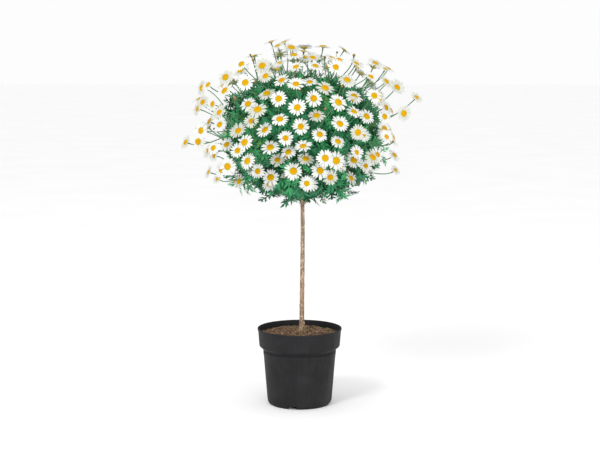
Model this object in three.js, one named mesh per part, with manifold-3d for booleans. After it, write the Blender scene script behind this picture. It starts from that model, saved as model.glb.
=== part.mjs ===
// A marguerite daisy grown as a standard: a ball of feathery leaves and white flowers
// on a bare stem, in a black plastic nursery pot filled with compost.
// Millimetres, +Z up. The origin is the middle of the pot's flat underside.

import * as THREE from "three";
import { mergeVertices } from "three/addons/utils/BufferGeometryUtils.js";
import Module from "manifold-3d";

const wasm = await Module();
wasm.setup();

const UP = new THREE.Vector3(0, 0, 1);
const CLEARANCE = 0.3; // gap between pieces that touch
const PLANTED_X = 5; // the stem stands this far right of the pot's middle

const POT = {
  sides: 28,
  rimRadius: 95,
  rimHeight: 173,
  collarRadius: 91, // at the collar's lower edge
  collarHeight: 133, // height of the collar's lower edge
  shoulderRadius: 82.6, // where the slope under the collar meets the tapered wall
  shoulderHeight: 125,
  baseRadius: 72.8,
  baseBevel: 6,
  wall: 1.6,
  footInner: 64,
  footOuter: 68.6,
  padRadius: 44, // the flat middle that stands on the ground
  channelDepth: 7.5, // the raised ring between the pad and the foot
};
const NOTCH = { count: 4, turn: -14, topWidth: 16, bottomWidth: 21 };
const DRAIN = { count: 8, radius: 4, circle: 54, sides: 6 };
const COMPOST = { level: 167, edgeLevel: 157.5, flatRadius: 20 };

const TRUNK = {
  sides: 10,
  steps: 12,
  foot: COMPOST.level + CLEARANCE,
  tip: 506,
  footRadius: 5.7,
  tipRadius: 4.1,
  bow: 1.8,
  flare: 2.2,
  flareHeight: 8,
  rootRidges: 5,
};
const FORK_HEIGHT = 462;
const BOUGH = {
  rootRadius: 3,
  tipRadius: 2.3,
  sides: 5,
  steps: 2,
  neighbourStep: 3, // neighbours in a ring leave the trunk this many rises apart
};
// The crown's spaces, ring by ring: each is all that lies nearer its own axis than any other.
// A ring's boughs leave the trunk one above another, the first this far above the fork.
const RINGS = [
  { name: "low", count: 7, elevation: 27, turn: 12, start: 50, first: -9, rise: 3.5 },
  { name: "high", count: 5, elevation: 52, turn: 38, start: 58, first: 18, rise: 2.8 },
  { name: "top", count: 1, elevation: 90, turn: 0, start: TRUNK.tip - FORK_HEIGHT },
];

// The crown's outlines: the masses' dense cores fill the first, their leaves reach the second and
// flowers stand out to the third. Heights here are above the fork. A fullness of 2 is an
// ellipsoid, and more is squarer.
const DENSE = { middle: 140, radius: 143, above: 98, below: 122, fullness: 2.6 };
const LEAFY = { middle: 148, radius: 186, above: 130, below: 150, fullness: 2.6 };
const FLOWERY = { middle: 186, radius: 231, above: 158, below: 165, fullness: 2.2 };
const CORE = { detail: 1, lump: 0.12, wallGap: 3 };
const SPACE_GAP = 0.6; // half the gap between two spaces

const FLOWER = {
  count: 130,
  petals: 6,
  radius: 19,
  radiusSpread: 0.14,
  notch: 0.74,
  height: 6, // from the flat underside to the middle of the yellow disc
  lowest: -48, // degrees from the outline's middle, below which no flower grows
  crowding: 1.42, // flowers are more crowded low down
  sunSide: 0.3, // and on the sunny side, which is -Y
  stray: 0.07, // how far chance moves one from its even place, as a share of the outline
  deepest: 0.82, // the shortest stalks end at this share of the outline
  furthest: 1.04,
  lift: 0.36,
  leastPull: 0.3, // how much a flower in front turns to the sunny side
  mostPull: 1.2,
  topFreedom: 0.85, // the topmost flowers are this much freer of that pull
  nod: 0.32,
};
const STALK = { sides: 3, steps: 2, rootRadius: 1.7, tipRadius: 1.3, sunk: 9, arch: 0.4 };
const STRAYS = [
  { azimuth: 183, elevation: -13, reach: 1.14, size: 0.95 },
  { azimuth: -4, elevation: 12, reach: 1.12, size: 0.85 },
  { azimuth: -8, elevation: -32, reach: 1.12, size: 0.65 },
  { azimuth: 112, elevation: 78, reach: 1.04, size: 0.95 },
];
const LEAF = {
  count: 144,
  lowest: -84,
  crowding: 0.85, // leaves are a little denser high up
  widthShare: 0.36,
  thickness: 0.045,
  sunk: 8,
  longest: 86,
  droop: 10,
  sweep: 22,
};
// Leaves that hang round the fork: this many to each low mass, their tips round the trunk.
const SKIRT = { perMass: 2, fan: 26, radius: 28, radiusSpread: 8, height: -6, heightSpread: 6 };
// A leaf's half outline, from root to tip, as shares of its length and half width.
const LEAF_LOBES = [
  [0.4, 0.55],
  [0.64, 1],
];

const COLOURS = {
  pot: { color: 0x343435, roughness: 0.55, metalness: 0 },
  compost: { color: 0x6c5847, roughness: 0.95, metalness: 0 },
  bark: { color: 0x9a8062, roughness: 0.85, metalness: 0 },
  foliage: { color: 0x2a6a48, roughness: 0.7, metalness: 0 },
};

// Repeatable chance: the same pair of numbers always gives the same value from 0 to 1.
function chance(item, lane) {
  const wave = Math.sin(item * 12.9898 + lane * 78.233 + 4.1) * 43758.5453;
  return wave - Math.floor(wave);
}

const spread = (item, lane) => 2 * chance(item, lane) - 1;
const radians = THREE.MathUtils.degToRad;

function heading(azimuth, elevation) {
  const flat = Math.cos(radians(elevation));
  return new THREE.Vector3(
    flat * Math.cos(radians(azimuth)),
    flat * Math.sin(radians(azimuth)),
    Math.sin(radians(elevation)),
  );
}

// Directions that cover a ball evenly from a lowest elevation up, however many are taken, by a
// two-way golden rule. A crowding over 1 draws them together towards the lowest.
function evenHeading(item, lowest, crowding) {
  const turn = (0.5 + item * 0.5698402909980532) % 1;
  const share = (0.5 + item * 0.7548776662466927) % 1;
  const bottom = Math.sin(radians(lowest));
  const height = bottom + (1 - bottom) * share ** crowding;
  const flat = Math.sqrt(1 - height * height);
  return new THREE.Vector3(
    flat * Math.cos(2 * Math.PI * turn),
    flat * Math.sin(2 * Math.PI * turn),
    height,
  );
}

// How far an outline lies from its middle in a direction.
function outlineReach(outline, direction) {
  const tall = direction.z < 0 ? outline.below : outline.above;
  const flat = Math.hypot(direction.x, direction.y) / outline.radius;
  const full = outline.fullness;
  return (flat ** full + (Math.abs(direction.z) / tall) ** full) ** (-1 / full);
}

function onOutline(outline, direction, share) {
  const point = new THREE.Vector3(0, 0, outline.middle);
  return point.addScaledVector(direction, share * outlineReach(outline, direction));
}

function isWithin(outline, point) {
  const away = point.clone().sub(new THREE.Vector3(0, 0, outline.middle));
  return away.length() < outlineReach(outline, away.clone().normalize());
}

// Solids: a closed three.js geometry becomes a manifold, and the way back.
function solid(geometry) {
  const bare = geometry.clone();
  bare.deleteAttribute("normal");
  bare.deleteAttribute("uv");
  const merged = mergeVertices(bare, 1e-4);
  return new wasm.Manifold(
    new wasm.Mesh({
      numProp: 3,
      vertProperties: new Float32Array(merged.attributes.position.array),
      triVerts: new Uint32Array(merged.index.array),
    }),
  );
}

function geometryOf(body) {
  const mesh = body.getMesh();
  const geometry = new THREE.BufferGeometry();
  geometry.setAttribute("position", new THREE.BufferAttribute(mesh.vertProperties, 3));
  geometry.setIndex(new THREE.BufferAttribute(mesh.triVerts, 1));
  geometry.computeVertexNormals();
  return geometry;
}

// Joins solids into one body. Loose scraps are dropped and sealed hollows filled.
function fuse(bodies) {
  const shortestEdge = 0.02;
  const lumps = wasm.Manifold.union(bodies).simplify(shortestEdge).decompose();
  return lumps.reduce((best, lump) => (lump.volume() > best.volume() ? lump : best));
}

function piece(name, body, look) {
  const mesh = new THREE.Mesh(geometryOf(body), new THREE.MeshStandardMaterial(look));
  mesh.name = name;
  return mesh;
}

// A tapering limb: a cylinder laid along a curve, its radius a function of the way along and round.
function limb(curve, radiusAt, sides, steps) {
  const geometry = new THREE.CylinderGeometry(1, 1, 1, sides, steps);
  const place = geometry.attributes.position;
  const start = curve.getTangent(0);
  const side = new THREE.Vector3(0, 1, 0);
  if (Math.abs(start.y) > 0.9) side.set(1, 0, 0);
  for (let i = 0; i < place.count; i++) {
    const along = 0.5 - place.getY(i);
    const tangent = curve.getTangent(along);
    const across = new THREE.Vector3().crossVectors(side, tangent).normalize();
    const upward = new THREE.Vector3().crossVectors(tangent, across);
    const round = Math.atan2(place.getZ(i), place.getX(i));
    const radius = radiusAt(along, round);
    const point = curve.getPoint(along);
    point.addScaledVector(across, place.getX(i) * radius);
    point.addScaledVector(upward, place.getZ(i) * radius);
    place.setXYZ(i, point.x, point.y, point.z);
  }
  return geometry;
}

// A closed lens: a rim of points, one apex over the middle and one under it.
function lens(rim, over, under) {
  const index = [];
  const [top, bottom] = [rim.length, rim.length + 1];
  rim.forEach((_, i) => {
    const next = (i + 1) % rim.length;
    index.push(i, next, top, next, i, bottom);
  });
  const geometry = new THREE.BufferGeometry().setFromPoints([...rim, over, under]);
  return geometry.setIndex(index);
}

// A frame whose Z axis points along one direction and whose X axis leans to another.
function facing(direction, toward) {
  const z = direction.clone().normalize();
  const y = new THREE.Vector3().crossVectors(z, toward).normalize();
  const x = new THREE.Vector3().crossVectors(y, z);
  return new THREE.Matrix4().makeBasis(x, y, z);
}

// The pot: one lathed wall, foot and floor, with notches through the foot and holes in the floor.
function potBody() {
  const p = POT;
  const inside = 0.6 * p.wall; // how much higher the slope under the collar is on the inside
  const floor = p.channelDepth + p.wall;
  const riser = 3;
  const outline = [
    [0, 0],
    [p.padRadius, 0],
    [p.padRadius + riser, p.channelDepth],
    [p.footInner - riser, p.channelDepth],
    [p.footInner, 0],
    [p.footOuter, 0],
    [p.baseRadius, p.baseBevel],
    [p.shoulderRadius, p.shoulderHeight],
    [p.collarRadius, p.collarHeight],
    [p.rimRadius, p.rimHeight - 1],
    [p.rimRadius - 0.5, p.rimHeight],
    [p.rimRadius - p.wall, p.rimHeight],
    [p.collarRadius - p.wall, p.collarHeight + inside],
    [p.shoulderRadius - p.wall, p.shoulderHeight + inside],
    [p.baseRadius - p.wall + 0.4, floor],
    [p.padRadius + riser - 1, floor],
    [p.padRadius - 1, p.wall],
    [0, p.wall],
  ].map(([r, z]) => new THREE.Vector2(r, z));
  let body = solid(new THREE.LatheGeometry(outline, p.sides).rotateX(Math.PI / 2));

  const half = [NOTCH.bottomWidth / 2, NOTCH.topWidth / 2];
  const below = -2;
  const widen = ((half[0] - half[1]) * below) / p.channelDepth;
  const gate = new THREE.Shape([
    new THREE.Vector2(-half[0] + widen, below),
    new THREE.Vector2(half[0] - widen, below),
    new THREE.Vector2(half[1], p.channelDepth),
    new THREE.Vector2(-half[1], p.channelDepth),
  ]);
  for (let i = 0; i < NOTCH.count; i++) {
    const cut = new THREE.ExtrudeGeometry(gate, { depth: 20, bevelEnabled: false });
    cut.rotateX(Math.PI / 2);
    cut.translate(0, -(p.footInner - riser - 1), 0);
    cut.rotateZ(radians(NOTCH.turn + (i * 360) / NOTCH.count));
    body = body.subtract(solid(cut));
  }
  for (let i = 0; i < DRAIN.count; i++) {
    const hole = new THREE.CylinderGeometry(DRAIN.radius, DRAIN.radius, 12, DRAIN.sides);
    hole.rotateX(Math.PI / 2);
    hole.translate(DRAIN.circle, 0, p.channelDepth);
    hole.rotateZ(radians((i * 360) / DRAIN.count));
    body = body.subtract(solid(hole));
  }
  return body;
}

// Compost: it fills the pot a clearance away from the wall, heaped and flat where the stem stands.
function compostBody() {
  const p = POT;
  const gap = CLEARANCE * 1.6;
  const inside = 0.6 * p.wall + 0.4 * gap;
  const floor = p.channelDepth + p.wall + gap;
  const slope = (p.rimRadius - p.collarRadius) / (p.rimHeight - p.collarHeight);
  const { level, edgeLevel, flatRadius } = COMPOST;
  const edge = p.collarRadius - p.wall - gap + slope * (edgeLevel - p.collarHeight - inside);
  const outline = [
    [0, p.wall + gap],
    [p.padRadius - 2, p.wall + gap],
    [p.padRadius + 1.5, floor],
    [p.baseRadius - p.wall - gap, floor],
    [p.shoulderRadius - p.wall - gap, p.shoulderHeight + inside],
    [p.collarRadius - p.wall - gap, p.collarHeight + inside],
    [edge, edgeLevel],
    [(edge + flatRadius) / 2, (level + edgeLevel) / 2 + 1],
    [flatRadius, level],
    [0, level],
  ].map(([r, z]) => new THREE.Vector2(r, z));
  return solid(new THREE.LatheGeometry(outline, p.sides).rotateX(Math.PI / 2));
}

// The trunk rises from the compost with a slight bow, thins to its tip and flares at its foot.
// Lengths are measured from the fork, on the trunk's own axis.
function trunkCurve() {
  const [foot, tip] = [TRUNK.foot - FORK_HEIGHT, TRUNK.tip - FORK_HEIGHT];
  const third = (tip - foot) / 3;
  return new THREE.CubicBezierCurve3(
    new THREE.Vector3(0, 0, foot),
    new THREE.Vector3(0, 0, foot + third),
    new THREE.Vector3(2.4 * TRUNK.bow, -TRUNK.bow, tip - third),
    new THREE.Vector3(0, 0, tip),
  );
}

function trunkBody(extra) {
  const length = TRUNK.tip - TRUNK.foot;
  const radiusAt = (along, round) => {
    const plain = THREE.MathUtils.lerp(TRUNK.footRadius, TRUNK.tipRadius, along);
    const flare = TRUNK.flare * Math.exp((-along * length) / TRUNK.flareHeight);
    return plain + flare * (1 + 0.35 * Math.cos(TRUNK.rootRidges * round)) + extra;
  };
  return solid(limb(trunkCurve(), radiusAt, TRUNK.sides, TRUNK.steps));
}

// The point on the trunk's axis at a height above the fork.
function trunkPoint(height) {
  const foot = TRUNK.foot - FORK_HEIGHT;
  return trunkCurve().getPoint((height - foot) / (TRUNK.tip - TRUNK.foot));
}

const spaces = RINGS.flatMap((ring) =>
  Array.from({ length: ring.count }, (_, i) => ({
    ring,
    place: i,
    label: ring.count > 1 ? `${ring.name}_${i + 1}` : ring.name,
    axis: heading(ring.turn + (i * 360) / ring.count, ring.elevation),
    start: ring.start,
  })),
);
for (const space of spaces) {
  space.walls = spaces
    .filter((other) => other !== space)
    .map((other) => space.axis.clone().sub(other.axis).normalize());
}

const homeOf = (point) =>
  spaces.reduce((best, s) => (s.axis.dot(point) > best.axis.dot(point) ? s : best));

const isInside = (space, point) => space.walls.every((wall) => wall.dot(point) > SPACE_GAP);

// Moves a point away from its space's walls until it has room on all sides.
function keepIn(space, point, room) {
  const kept = point.clone();
  for (let pass = 0; pass < 4; pass++) {
    for (const wall of space.walls) {
      const short = room - wall.dot(kept);
      if (short > 0) kept.addScaledVector(wall, short);
    }
  }
  return kept;
}

// A bough: a curved limb from the trunk's axis to where its space starts, cut clear of the trunk.
function boughCurve(space) {
  const { ring, place } = space;
  const rank = (place * BOUGH.neighbourStep) % ring.count;
  const root = trunkPoint(ring.first + rank * ring.rise);
  const tip = space.axis.clone().multiplyScalar(space.start);
  const bend = tip.clone().addScaledVector(space.axis, -0.5 * root.distanceTo(tip));
  return new THREE.QuadraticBezierCurve3(root, bend, tip);
}

function boughBody(space) {
  const radiusAt = (along) => THREE.MathUtils.lerp(BOUGH.rootRadius, BOUGH.tipRadius, along);
  const whole = solid(limb(boughCurve(space), radiusAt, BOUGH.sides, BOUGH.steps));
  return fuse([whole.subtract(trunkBody(CLEARANCE))]);
}

// Points down the middle of every limb, each with its radius, for the test that leaves miss them.
const limbPoints = [];
for (let i = 0; i <= 80; i++) {
  const along = i / 80;
  const radius = THREE.MathUtils.lerp(TRUNK.footRadius, TRUNK.tipRadius, along);
  limbPoints.push({ point: trunkCurve().getPoint(along), radius });
}
for (const space of spaces.filter((s) => s.ring.name !== "top")) {
  for (let i = 0; i <= 15; i++) {
    const point = boughCurve(space).getPoint(i / 15);
    limbPoints.push({ point, radius: BOUGH.rootRadius });
  }
}

// True if a small piece of the crown stays in its space and misses the limbs.
function hasRoom(space, geometry) {
  const place = geometry.attributes.position;
  const corners = [];
  for (let i = 0; i < place.count; i++) {
    corners.push(new THREE.Vector3().fromBufferAttribute(place, i));
  }
  if (!corners.every((corner) => isInside(space, corner))) return false;
  const middle = new THREE.Vector3();
  corners.forEach((corner) => middle.addScaledVector(corner, 1 / corners.length));
  const shares = [0, 0.33, 0.67, 1];
  const limbGap = 3;
  return corners.every((corner) =>
    shares.every((share) => {
      const probe = corner.clone().lerp(middle, share);
      return limbPoints.every((l) => l.point.distanceTo(probe) > l.radius + limbGap);
    }),
  );
}

// A core's middle: halfway along its space's axis between the space's start and the dense outline.
function coreMiddle(space) {
  let far = space.start + 10;
  while (isWithin(DENSE, space.axis.clone().multiplyScalar(far))) far += 1;
  return space.axis.clone().multiplyScalar((space.start + far) / 2);
}

// How far the core may reach from its middle: to the dense outline, its space's walls, or the
// plane where the space starts.
function coreReach(space, direction) {
  const { middle } = space;
  let reach = Infinity;
  for (const wall of space.walls) {
    const closing = -wall.dot(direction);
    if (closing > 1e-6) {
      reach = Math.min(reach, (wall.dot(middle) - CORE.wallGap) / closing);
    }
  }
  const back = -space.axis.dot(direction);
  if (back > 1e-6) {
    const room = space.axis.dot(middle) - space.start - CORE.wallGap;
    reach = Math.min(reach, room / back);
  }
  let [inner, outer] = [0, 400];
  for (let i = 0; i < 20; i++) {
    const half = (inner + outer) / 2;
    const point = middle.clone().addScaledVector(direction, half);
    if (isWithin(DENSE, point)) inner = half;
    else outer = half;
  }
  return Math.min(reach, inner);
}

function coreGeometry(space, number) {
  const geometry = new THREE.IcosahedronGeometry(1, CORE.detail);
  geometry.deleteAttribute("normal");
  geometry.deleteAttribute("uv");
  const ball = mergeVertices(geometry, 1e-4);
  const place = ball.attributes.position;
  for (let i = 0; i < place.count; i++) {
    const direction = new THREE.Vector3().fromBufferAttribute(place, i).normalize();
    const lump = 1 - CORE.lump * chance(i + 100 * number, 1);
    const point = space.middle.clone();
    point.addScaledVector(direction, coreReach(space, direction) * lump);
    place.setXYZ(i, point.x, point.y, point.z);
  }
  return ball;
}

// A point a set depth under the core's surface, in a direction from the core's middle.
function underSurface(space, direction, depth) {
  const ray = new THREE.Ray(space.middle, direction);
  const place = space.core.attributes.position;
  const corner = (i) => new THREE.Vector3().fromBufferAttribute(place, space.core.index.getX(i));
  let surface = 0;
  for (let i = 0; i < space.core.index.count; i += 3) {
    const hit = new THREE.Vector3();
    if (ray.intersectTriangle(corner(i), corner(i + 1), corner(i + 2), false, hit)) {
      surface = Math.max(surface, hit.distanceTo(space.middle));
    }
  }
  return ray.at(Math.max(surface - depth, surface * 0.4), new THREE.Vector3());
}

// The stem that carries a mass on from its bough's tip, sunk into the core.
function stemGeometry(space) {
  const from = space.axis.clone().multiplyScalar(space.start + CLEARANCE);
  const curve = new THREE.LineCurve3(from, space.middle.clone());
  const radius = space.ring.name === "top" ? TRUNK.tipRadius : BOUGH.tipRadius;
  const radiusAt = (along) => THREE.MathUtils.lerp(radius, radius * 0.7, along);
  return limb(curve, radiusAt, BOUGH.sides, 1);
}

// A flower on its stalk, as one closed mesh: rings of corners up the stalk, then the star of
// petals that opens from the last ring, then the raised middle of the yellow disc.
function flowerGeometry(curve, at, front, radius, turn) {
  const frame = facing(front, Math.abs(front.z) > 0.9 ? new THREE.Vector3(1, 0, 0) : UP);
  const side = new THREE.Vector3().setFromMatrixColumn(frame, 0);
  const points = [];
  const addRing = (centre, normal, corners, reachOf) => {
    const across = side.clone().addScaledVector(normal, -side.dot(normal)).normalize();
    const upward = new THREE.Vector3().crossVectors(normal, across);
    for (let i = 0; i < corners; i++) {
      const angle = turn + (i * 2 * Math.PI) / corners;
      const corner = centre.clone().addScaledVector(across, reachOf(i) * Math.cos(angle));
      points.push(corner.addScaledVector(upward, reachOf(i) * Math.sin(angle)));
    }
  };
  for (let step = 0; step < STALK.steps; step++) {
    const along = step / STALK.steps;
    const thickness = THREE.MathUtils.lerp(STALK.rootRadius, STALK.tipRadius, along);
    addRing(curve.getPoint(along), curve.getTangent(along), STALK.sides, () => thickness);
  }
  addRing(at, front, STALK.sides, () => STALK.tipRadius);
  const rimCount = 2 * FLOWER.petals;
  addRing(at, front, rimCount, (i) => radius * (i % 2 ? FLOWER.notch : 1));
  points.push(at.clone().addScaledVector(front, FLOWER.height));

  const sides = STALK.sides;
  const neck = STALK.steps * sides;
  const rim = neck + sides;
  const index = [0, 2, 1];
  for (let ring = 0; ring < neck; ring += sides) {
    for (let i = 0; i < sides; i++) {
      const next = (i + 1) % sides;
      index.push(ring + i, ring + next, ring + sides + next);
      index.push(ring + i, ring + sides + next, ring + sides + i);
    }
  }
  const share = rimCount / sides;
  for (let i = 0; i < rimCount; i++) {
    const next = (i + 1) % rimCount;
    const corner = Math.floor(i / share);
    index.push(rim + i, rim + next, points.length - 1);
    index.push(neck + corner, rim + next, rim + i);
    if (next % share === 0) index.push(neck + corner, neck + ((corner + 1) % sides), rim + next);
  }
  return new THREE.BufferGeometry().setFromPoints(points).setIndex(index);
}

// Where a flower grows: an even heading, drawn round to the sunny side and moved a little.
function flowerHeading(item) {
  const even = evenHeading(item, FLOWER.lowest, FLOWER.crowding);
  const flat = Math.hypot(even.x, even.y);
  const round = Math.atan2(even.x, -even.y);
  const drawn = round - FLOWER.sunSide * Math.sin(round);
  const moved = new THREE.Vector3(spread(item, 21), spread(item, 22), spread(item, 23));
  const direction = new THREE.Vector3(flat * Math.sin(drawn), -flat * Math.cos(drawn), even.z);
  return direction.addScaledVector(moved, FLOWER.stray).normalize();
}

// Which way a flower faces: out and a little up, and in front also to the sunny side.
function flowerFacing(direction, item) {
  const sunny = THREE.MathUtils.clamp(0.6 - direction.y, 0, 1);
  const held = 1 - FLOWER.topFreedom * Math.max(direction.z, 0);
  const pull = THREE.MathUtils.lerp(FLOWER.leastPull, FLOWER.mostPull, chance(item, 8));
  const front = direction.clone();
  front.z = Math.max(front.z, 0) + FLOWER.lift;
  front.y -= pull * sunny * held;
  front.x += FLOWER.nod * spread(item, 5);
  front.y += FLOWER.nod * spread(item, 6) * 0.5;
  front.z += FLOWER.nod * spread(item, 7);
  return front.normalize();
}

function flowerSpots() {
  const spots = STRAYS.map((stray, i) => ({
    item: 1000 + i,
    direction: heading(stray.azimuth, stray.elevation),
    reach: stray.reach,
    size: stray.size,
  }));
  for (let item = 0; item < FLOWER.count; item++) {
    spots.push({
      item,
      direction: flowerHeading(item),
      reach: THREE.MathUtils.lerp(FLOWER.furthest, FLOWER.deepest, chance(item, 2) ** 1.3),
      size: 1 + FLOWER.radiusSpread * spread(item, 3),
    });
  }
  return spots;
}

function flowerOnStalk(spot) {
  const { item, direction, reach } = spot;
  const radius = FLOWER.radius * spot.size;
  const wanted = onOutline(FLOWERY, direction, reach);
  const space = homeOf(wanted);
  const at = keepIn(space, wanted, radius + 1);
  const front = flowerFacing(direction, item);
  const outward = at.clone().sub(space.middle).normalize();
  const root = underSurface(space, outward, STALK.sunk);
  const bend = at.clone().addScaledVector(front, -STALK.arch * at.distanceTo(root));
  const curve = new THREE.QuadraticBezierCurve3(root, keepIn(space, bend, 3), at);
  const turn = 2 * Math.PI * chance(item, 4);
  return { space, part: flowerGeometry(curve, at, front, radius, turn) };
}

// Where the leaves' tips go: over the leafy outline, drooping lower down, and round the fork.
function leafTips() {
  const tips = [];
  for (let item = 0; item < LEAF.count; item++) {
    const direction = evenHeading(item + 0.37, LEAF.lowest, LEAF.crowding);
    const wanted = onOutline(LEAFY, direction, 0.94 + 0.12 * chance(item, 11));
    wanted.z -= LEAF.droop * chance(item, 12) * (1 - Math.max(direction.z, 0));
    const space = homeOf(wanted);
    tips.push({ item, space, tip: keepIn(space, wanted, 4), sweep: LEAF.sweep });
  }
  const low = RINGS[0];
  for (let i = 0; i < low.count * SKIRT.perMass; i++) {
    const item = 2000 + i;
    const space = spaces[i % low.count];
    const place = Math.floor(i / low.count) - (SKIRT.perMass - 1) / 2;
    const azimuth = low.turn + ((i % low.count) * 360) / low.count + SKIRT.fan * place;
    const tip = heading(azimuth, 0).multiplyScalar(SKIRT.radius + SKIRT.radiusSpread * spread(item, 11));
    tip.z = SKIRT.height + SKIRT.heightSpread * spread(item, 12);
    tips.push({ item, space, tip, sweep: 0 });
  }
  return tips;
}

// A spray of leaves: a lobed lens from a root in its mass's core to its tip.
function leafSpray({ item, space, tip, sweep }) {
  const swept = tip.clone();
  swept.x += sweep * spread(item, 13);
  swept.y += sweep * spread(item, 14);
  swept.z += sweep * spread(item, 15);
  const root = underSurface(space, swept.sub(space.middle).normalize(), LEAF.sunk);
  const along = tip.clone().sub(root);
  const length = Math.min(along.length(), LEAF.longest);
  along.normalize();
  const half = (length * LEAF.widthShare) / 2;
  const rim = [
    new THREE.Vector3(0, 0, 0),
    ...LEAF_LOBES.map(([x, y]) => new THREE.Vector3(x * length, -y * half, 0)),
    new THREE.Vector3(length, 0, 0),
    ...LEAF_LOBES.map(([x, y]) => new THREE.Vector3(x * length, y * half, 0)).reverse(),
  ];
  const swell = (LEAF.thickness * length) / 2;
  const over = new THREE.Vector3(0.5 * length, 0, swell);
  const under = new THREE.Vector3(0.5 * length, 0, -swell);
  const lying = new THREE.Vector3().crossVectors(UP, along).normalize();
  const roll = (spread(item, 16) * Math.PI) / 3;
  lying.applyAxisAngle(along, roll);
  const frame = new THREE.Matrix4().makeBasis(
    along,
    lying,
    new THREE.Vector3().crossVectors(along, lying),
  );
  return lens(rim, over, under).applyMatrix4(frame.setPosition(root));
}

// Each mass is one body: its core, the stem that carries it, and the leaves and flowers in its space.
spaces.forEach((space, number) => {
  space.middle = coreMiddle(space);
  space.core = coreGeometry(space, number);
  space.parts = [solid(space.core), solid(stemGeometry(space))];
});
for (const spot of flowerSpots()) {
  const { space, part } = flowerOnStalk(spot);
  if (hasRoom(space, part)) space.parts.push(solid(part));
}
for (const leaf of leafTips()) {
  const { space } = leaf;
  const part = leafSpray(leaf);
  if (hasRoom(space, part)) space.parts.push(solid(part));
}

const crown = new THREE.Group();
crown.position.set(PLANTED_X, 0, FORK_HEIGHT);
crown.add(piece("trunk", trunkBody(0), COLOURS.bark));
for (const space of spaces) {
  if (space.ring.name !== "top") {
    crown.add(piece(`bough_${space.label}`, boughBody(space), COLOURS.bark));
  }
  crown.add(piece(`foliage_${space.label}`, fuse(space.parts), COLOURS.foliage));
}

const plant = new THREE.Group();
plant.add(piece("pot", potBody(), COLOURS.pot));
plant.add(piece("compost", compostBody(), COLOURS.compost));
plant.add(crown);

export default plant;
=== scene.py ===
"""A marguerite daisy grown as a standard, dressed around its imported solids.

The plant is drawn in millimetres from its fork, where the boughs leave the trunk, by the same rules
as the solids: the crown's outlines, its thirteen spaces, the boughs, and the even spiral that deals
out flowers and leaves. The pot is drawn from the middle of its underside.
"""

import math

import bmesh
import bpy
import numpy as np
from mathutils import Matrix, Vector


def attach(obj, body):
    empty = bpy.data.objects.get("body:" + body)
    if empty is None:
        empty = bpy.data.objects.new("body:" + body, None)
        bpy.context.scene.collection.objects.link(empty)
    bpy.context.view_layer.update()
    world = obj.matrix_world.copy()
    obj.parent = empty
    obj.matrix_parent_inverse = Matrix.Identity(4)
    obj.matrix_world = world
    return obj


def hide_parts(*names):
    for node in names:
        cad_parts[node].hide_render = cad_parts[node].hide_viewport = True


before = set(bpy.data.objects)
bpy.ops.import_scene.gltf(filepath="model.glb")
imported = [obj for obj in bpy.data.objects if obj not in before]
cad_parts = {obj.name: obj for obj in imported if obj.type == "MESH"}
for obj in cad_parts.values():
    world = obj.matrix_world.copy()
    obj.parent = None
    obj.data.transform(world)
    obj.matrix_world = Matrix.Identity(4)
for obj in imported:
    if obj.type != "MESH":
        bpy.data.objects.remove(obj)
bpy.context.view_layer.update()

BOUGHS = [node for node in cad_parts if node.startswith("bough")]
MASSES = [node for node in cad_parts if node.startswith("foliage")]

# The fork stands right of the pot's middle, in millimetres.
FORK = np.array([5.0, 0.0, 462.0])
POT_MIDDLE = np.zeros(3)
UP = np.array([0.0, 0.0, 1.0])
GOLDEN_ANGLE = math.pi * (3 - math.sqrt(5))

# The pot: (radius, height, rounding) of each corner, from the middle of its underside to the
# middle of its inner floor. The floor's two flat rings, which carry the drain holes, are left out
# of the walls and are drawn with their holes.
POT_COLUMNS = 96
POT_PAD = [(0, 0, 0), (44, 0, 0.8), (46.9, 7.5, 0)]
POT_WALL = [
    (61, 7.5, 0), (64, 0, 0.8), (68.6, 0, 2.4), (72.8, 6.2, 3.4), (81.5, 112.4, 0.2), (82.0, 113, 0.2),
    (82.5, 120.7, 0.5), (80.8, 121.5, 0.5), (80.7, 123.6, 0.6), (90.8, 132.4, 1.1), (91.2, 134.4, 0.9),
    (93.9, 167.6, 0.8), (95.1, 168.5, 0.5), (95.2, 172.2, 0.7), (94.5, 173, 0.4), (93.3, 173, 0.5),
    (92.7, 168.6, 0.8), (89.4, 134, 0.8), (79.4, 124.4, 0.8), (71.6, 9.1, 0.6), (61, 9.1, 0),
]
POT_FLOOR = [(46.9, 9.1, 0), (43, 1.6, 0.6), (0, 1.6, 0)]
NOTCH = {"count": 4, "turn": -14, "height": 7.5, "low": 8.8, "high": 6.7, "inner": 61.5}
DRAIN = {"count": 8, "radius": 4.0, "circle": 54.0, "steps_out": 4}

# The compost: (radius, height) of its heap, then of its side down to the floor.
HEAP = [(0, 167), (20, 167), (55, 163.6), (78, 160.4), (91.0, 157)]
HEAP_SIDE = [(91.0, 153), (88.9, 134), (78.9, 124.4), (71.1, 9.6), (45.8, 9.6), (42.4, 2.1), (0, 2.1)]
HEAP_RINGS = 64
HEAP_COLUMNS = 168
# What lies on the heap: piece, material, first item, count, (length, width, half thickness), and
# the material's dark, middle and light tint.
CRUMBS_AND_CHIPS = [
    ("compost_crumbs_dark", "peat crumbs, damp and dark", 5000, 1500, (3.4, 2.2, 1.2),
     ("#2f231b", "#4e3b2c", "#6b5540")),
    ("compost_chips_brown", "composted bark chips, brown", 7000, 950, (7.5, 2.6, 0.8),
     ("#4e3a2d", "#775b46", "#967c62")),
    ("compost_chips_red", "composted bark chips, red brown", 9000, 190, (8.5, 3.0, 0.8),
     ("#583629", "#784e3c", "#956b54")),
    ("compost_chips_pale", "wood splinters, dry and pale", 9500, 158, (5.5, 2.4, 0.8),
     ("#7d6a56", "#a08c74", "#c2b096")),
]
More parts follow.
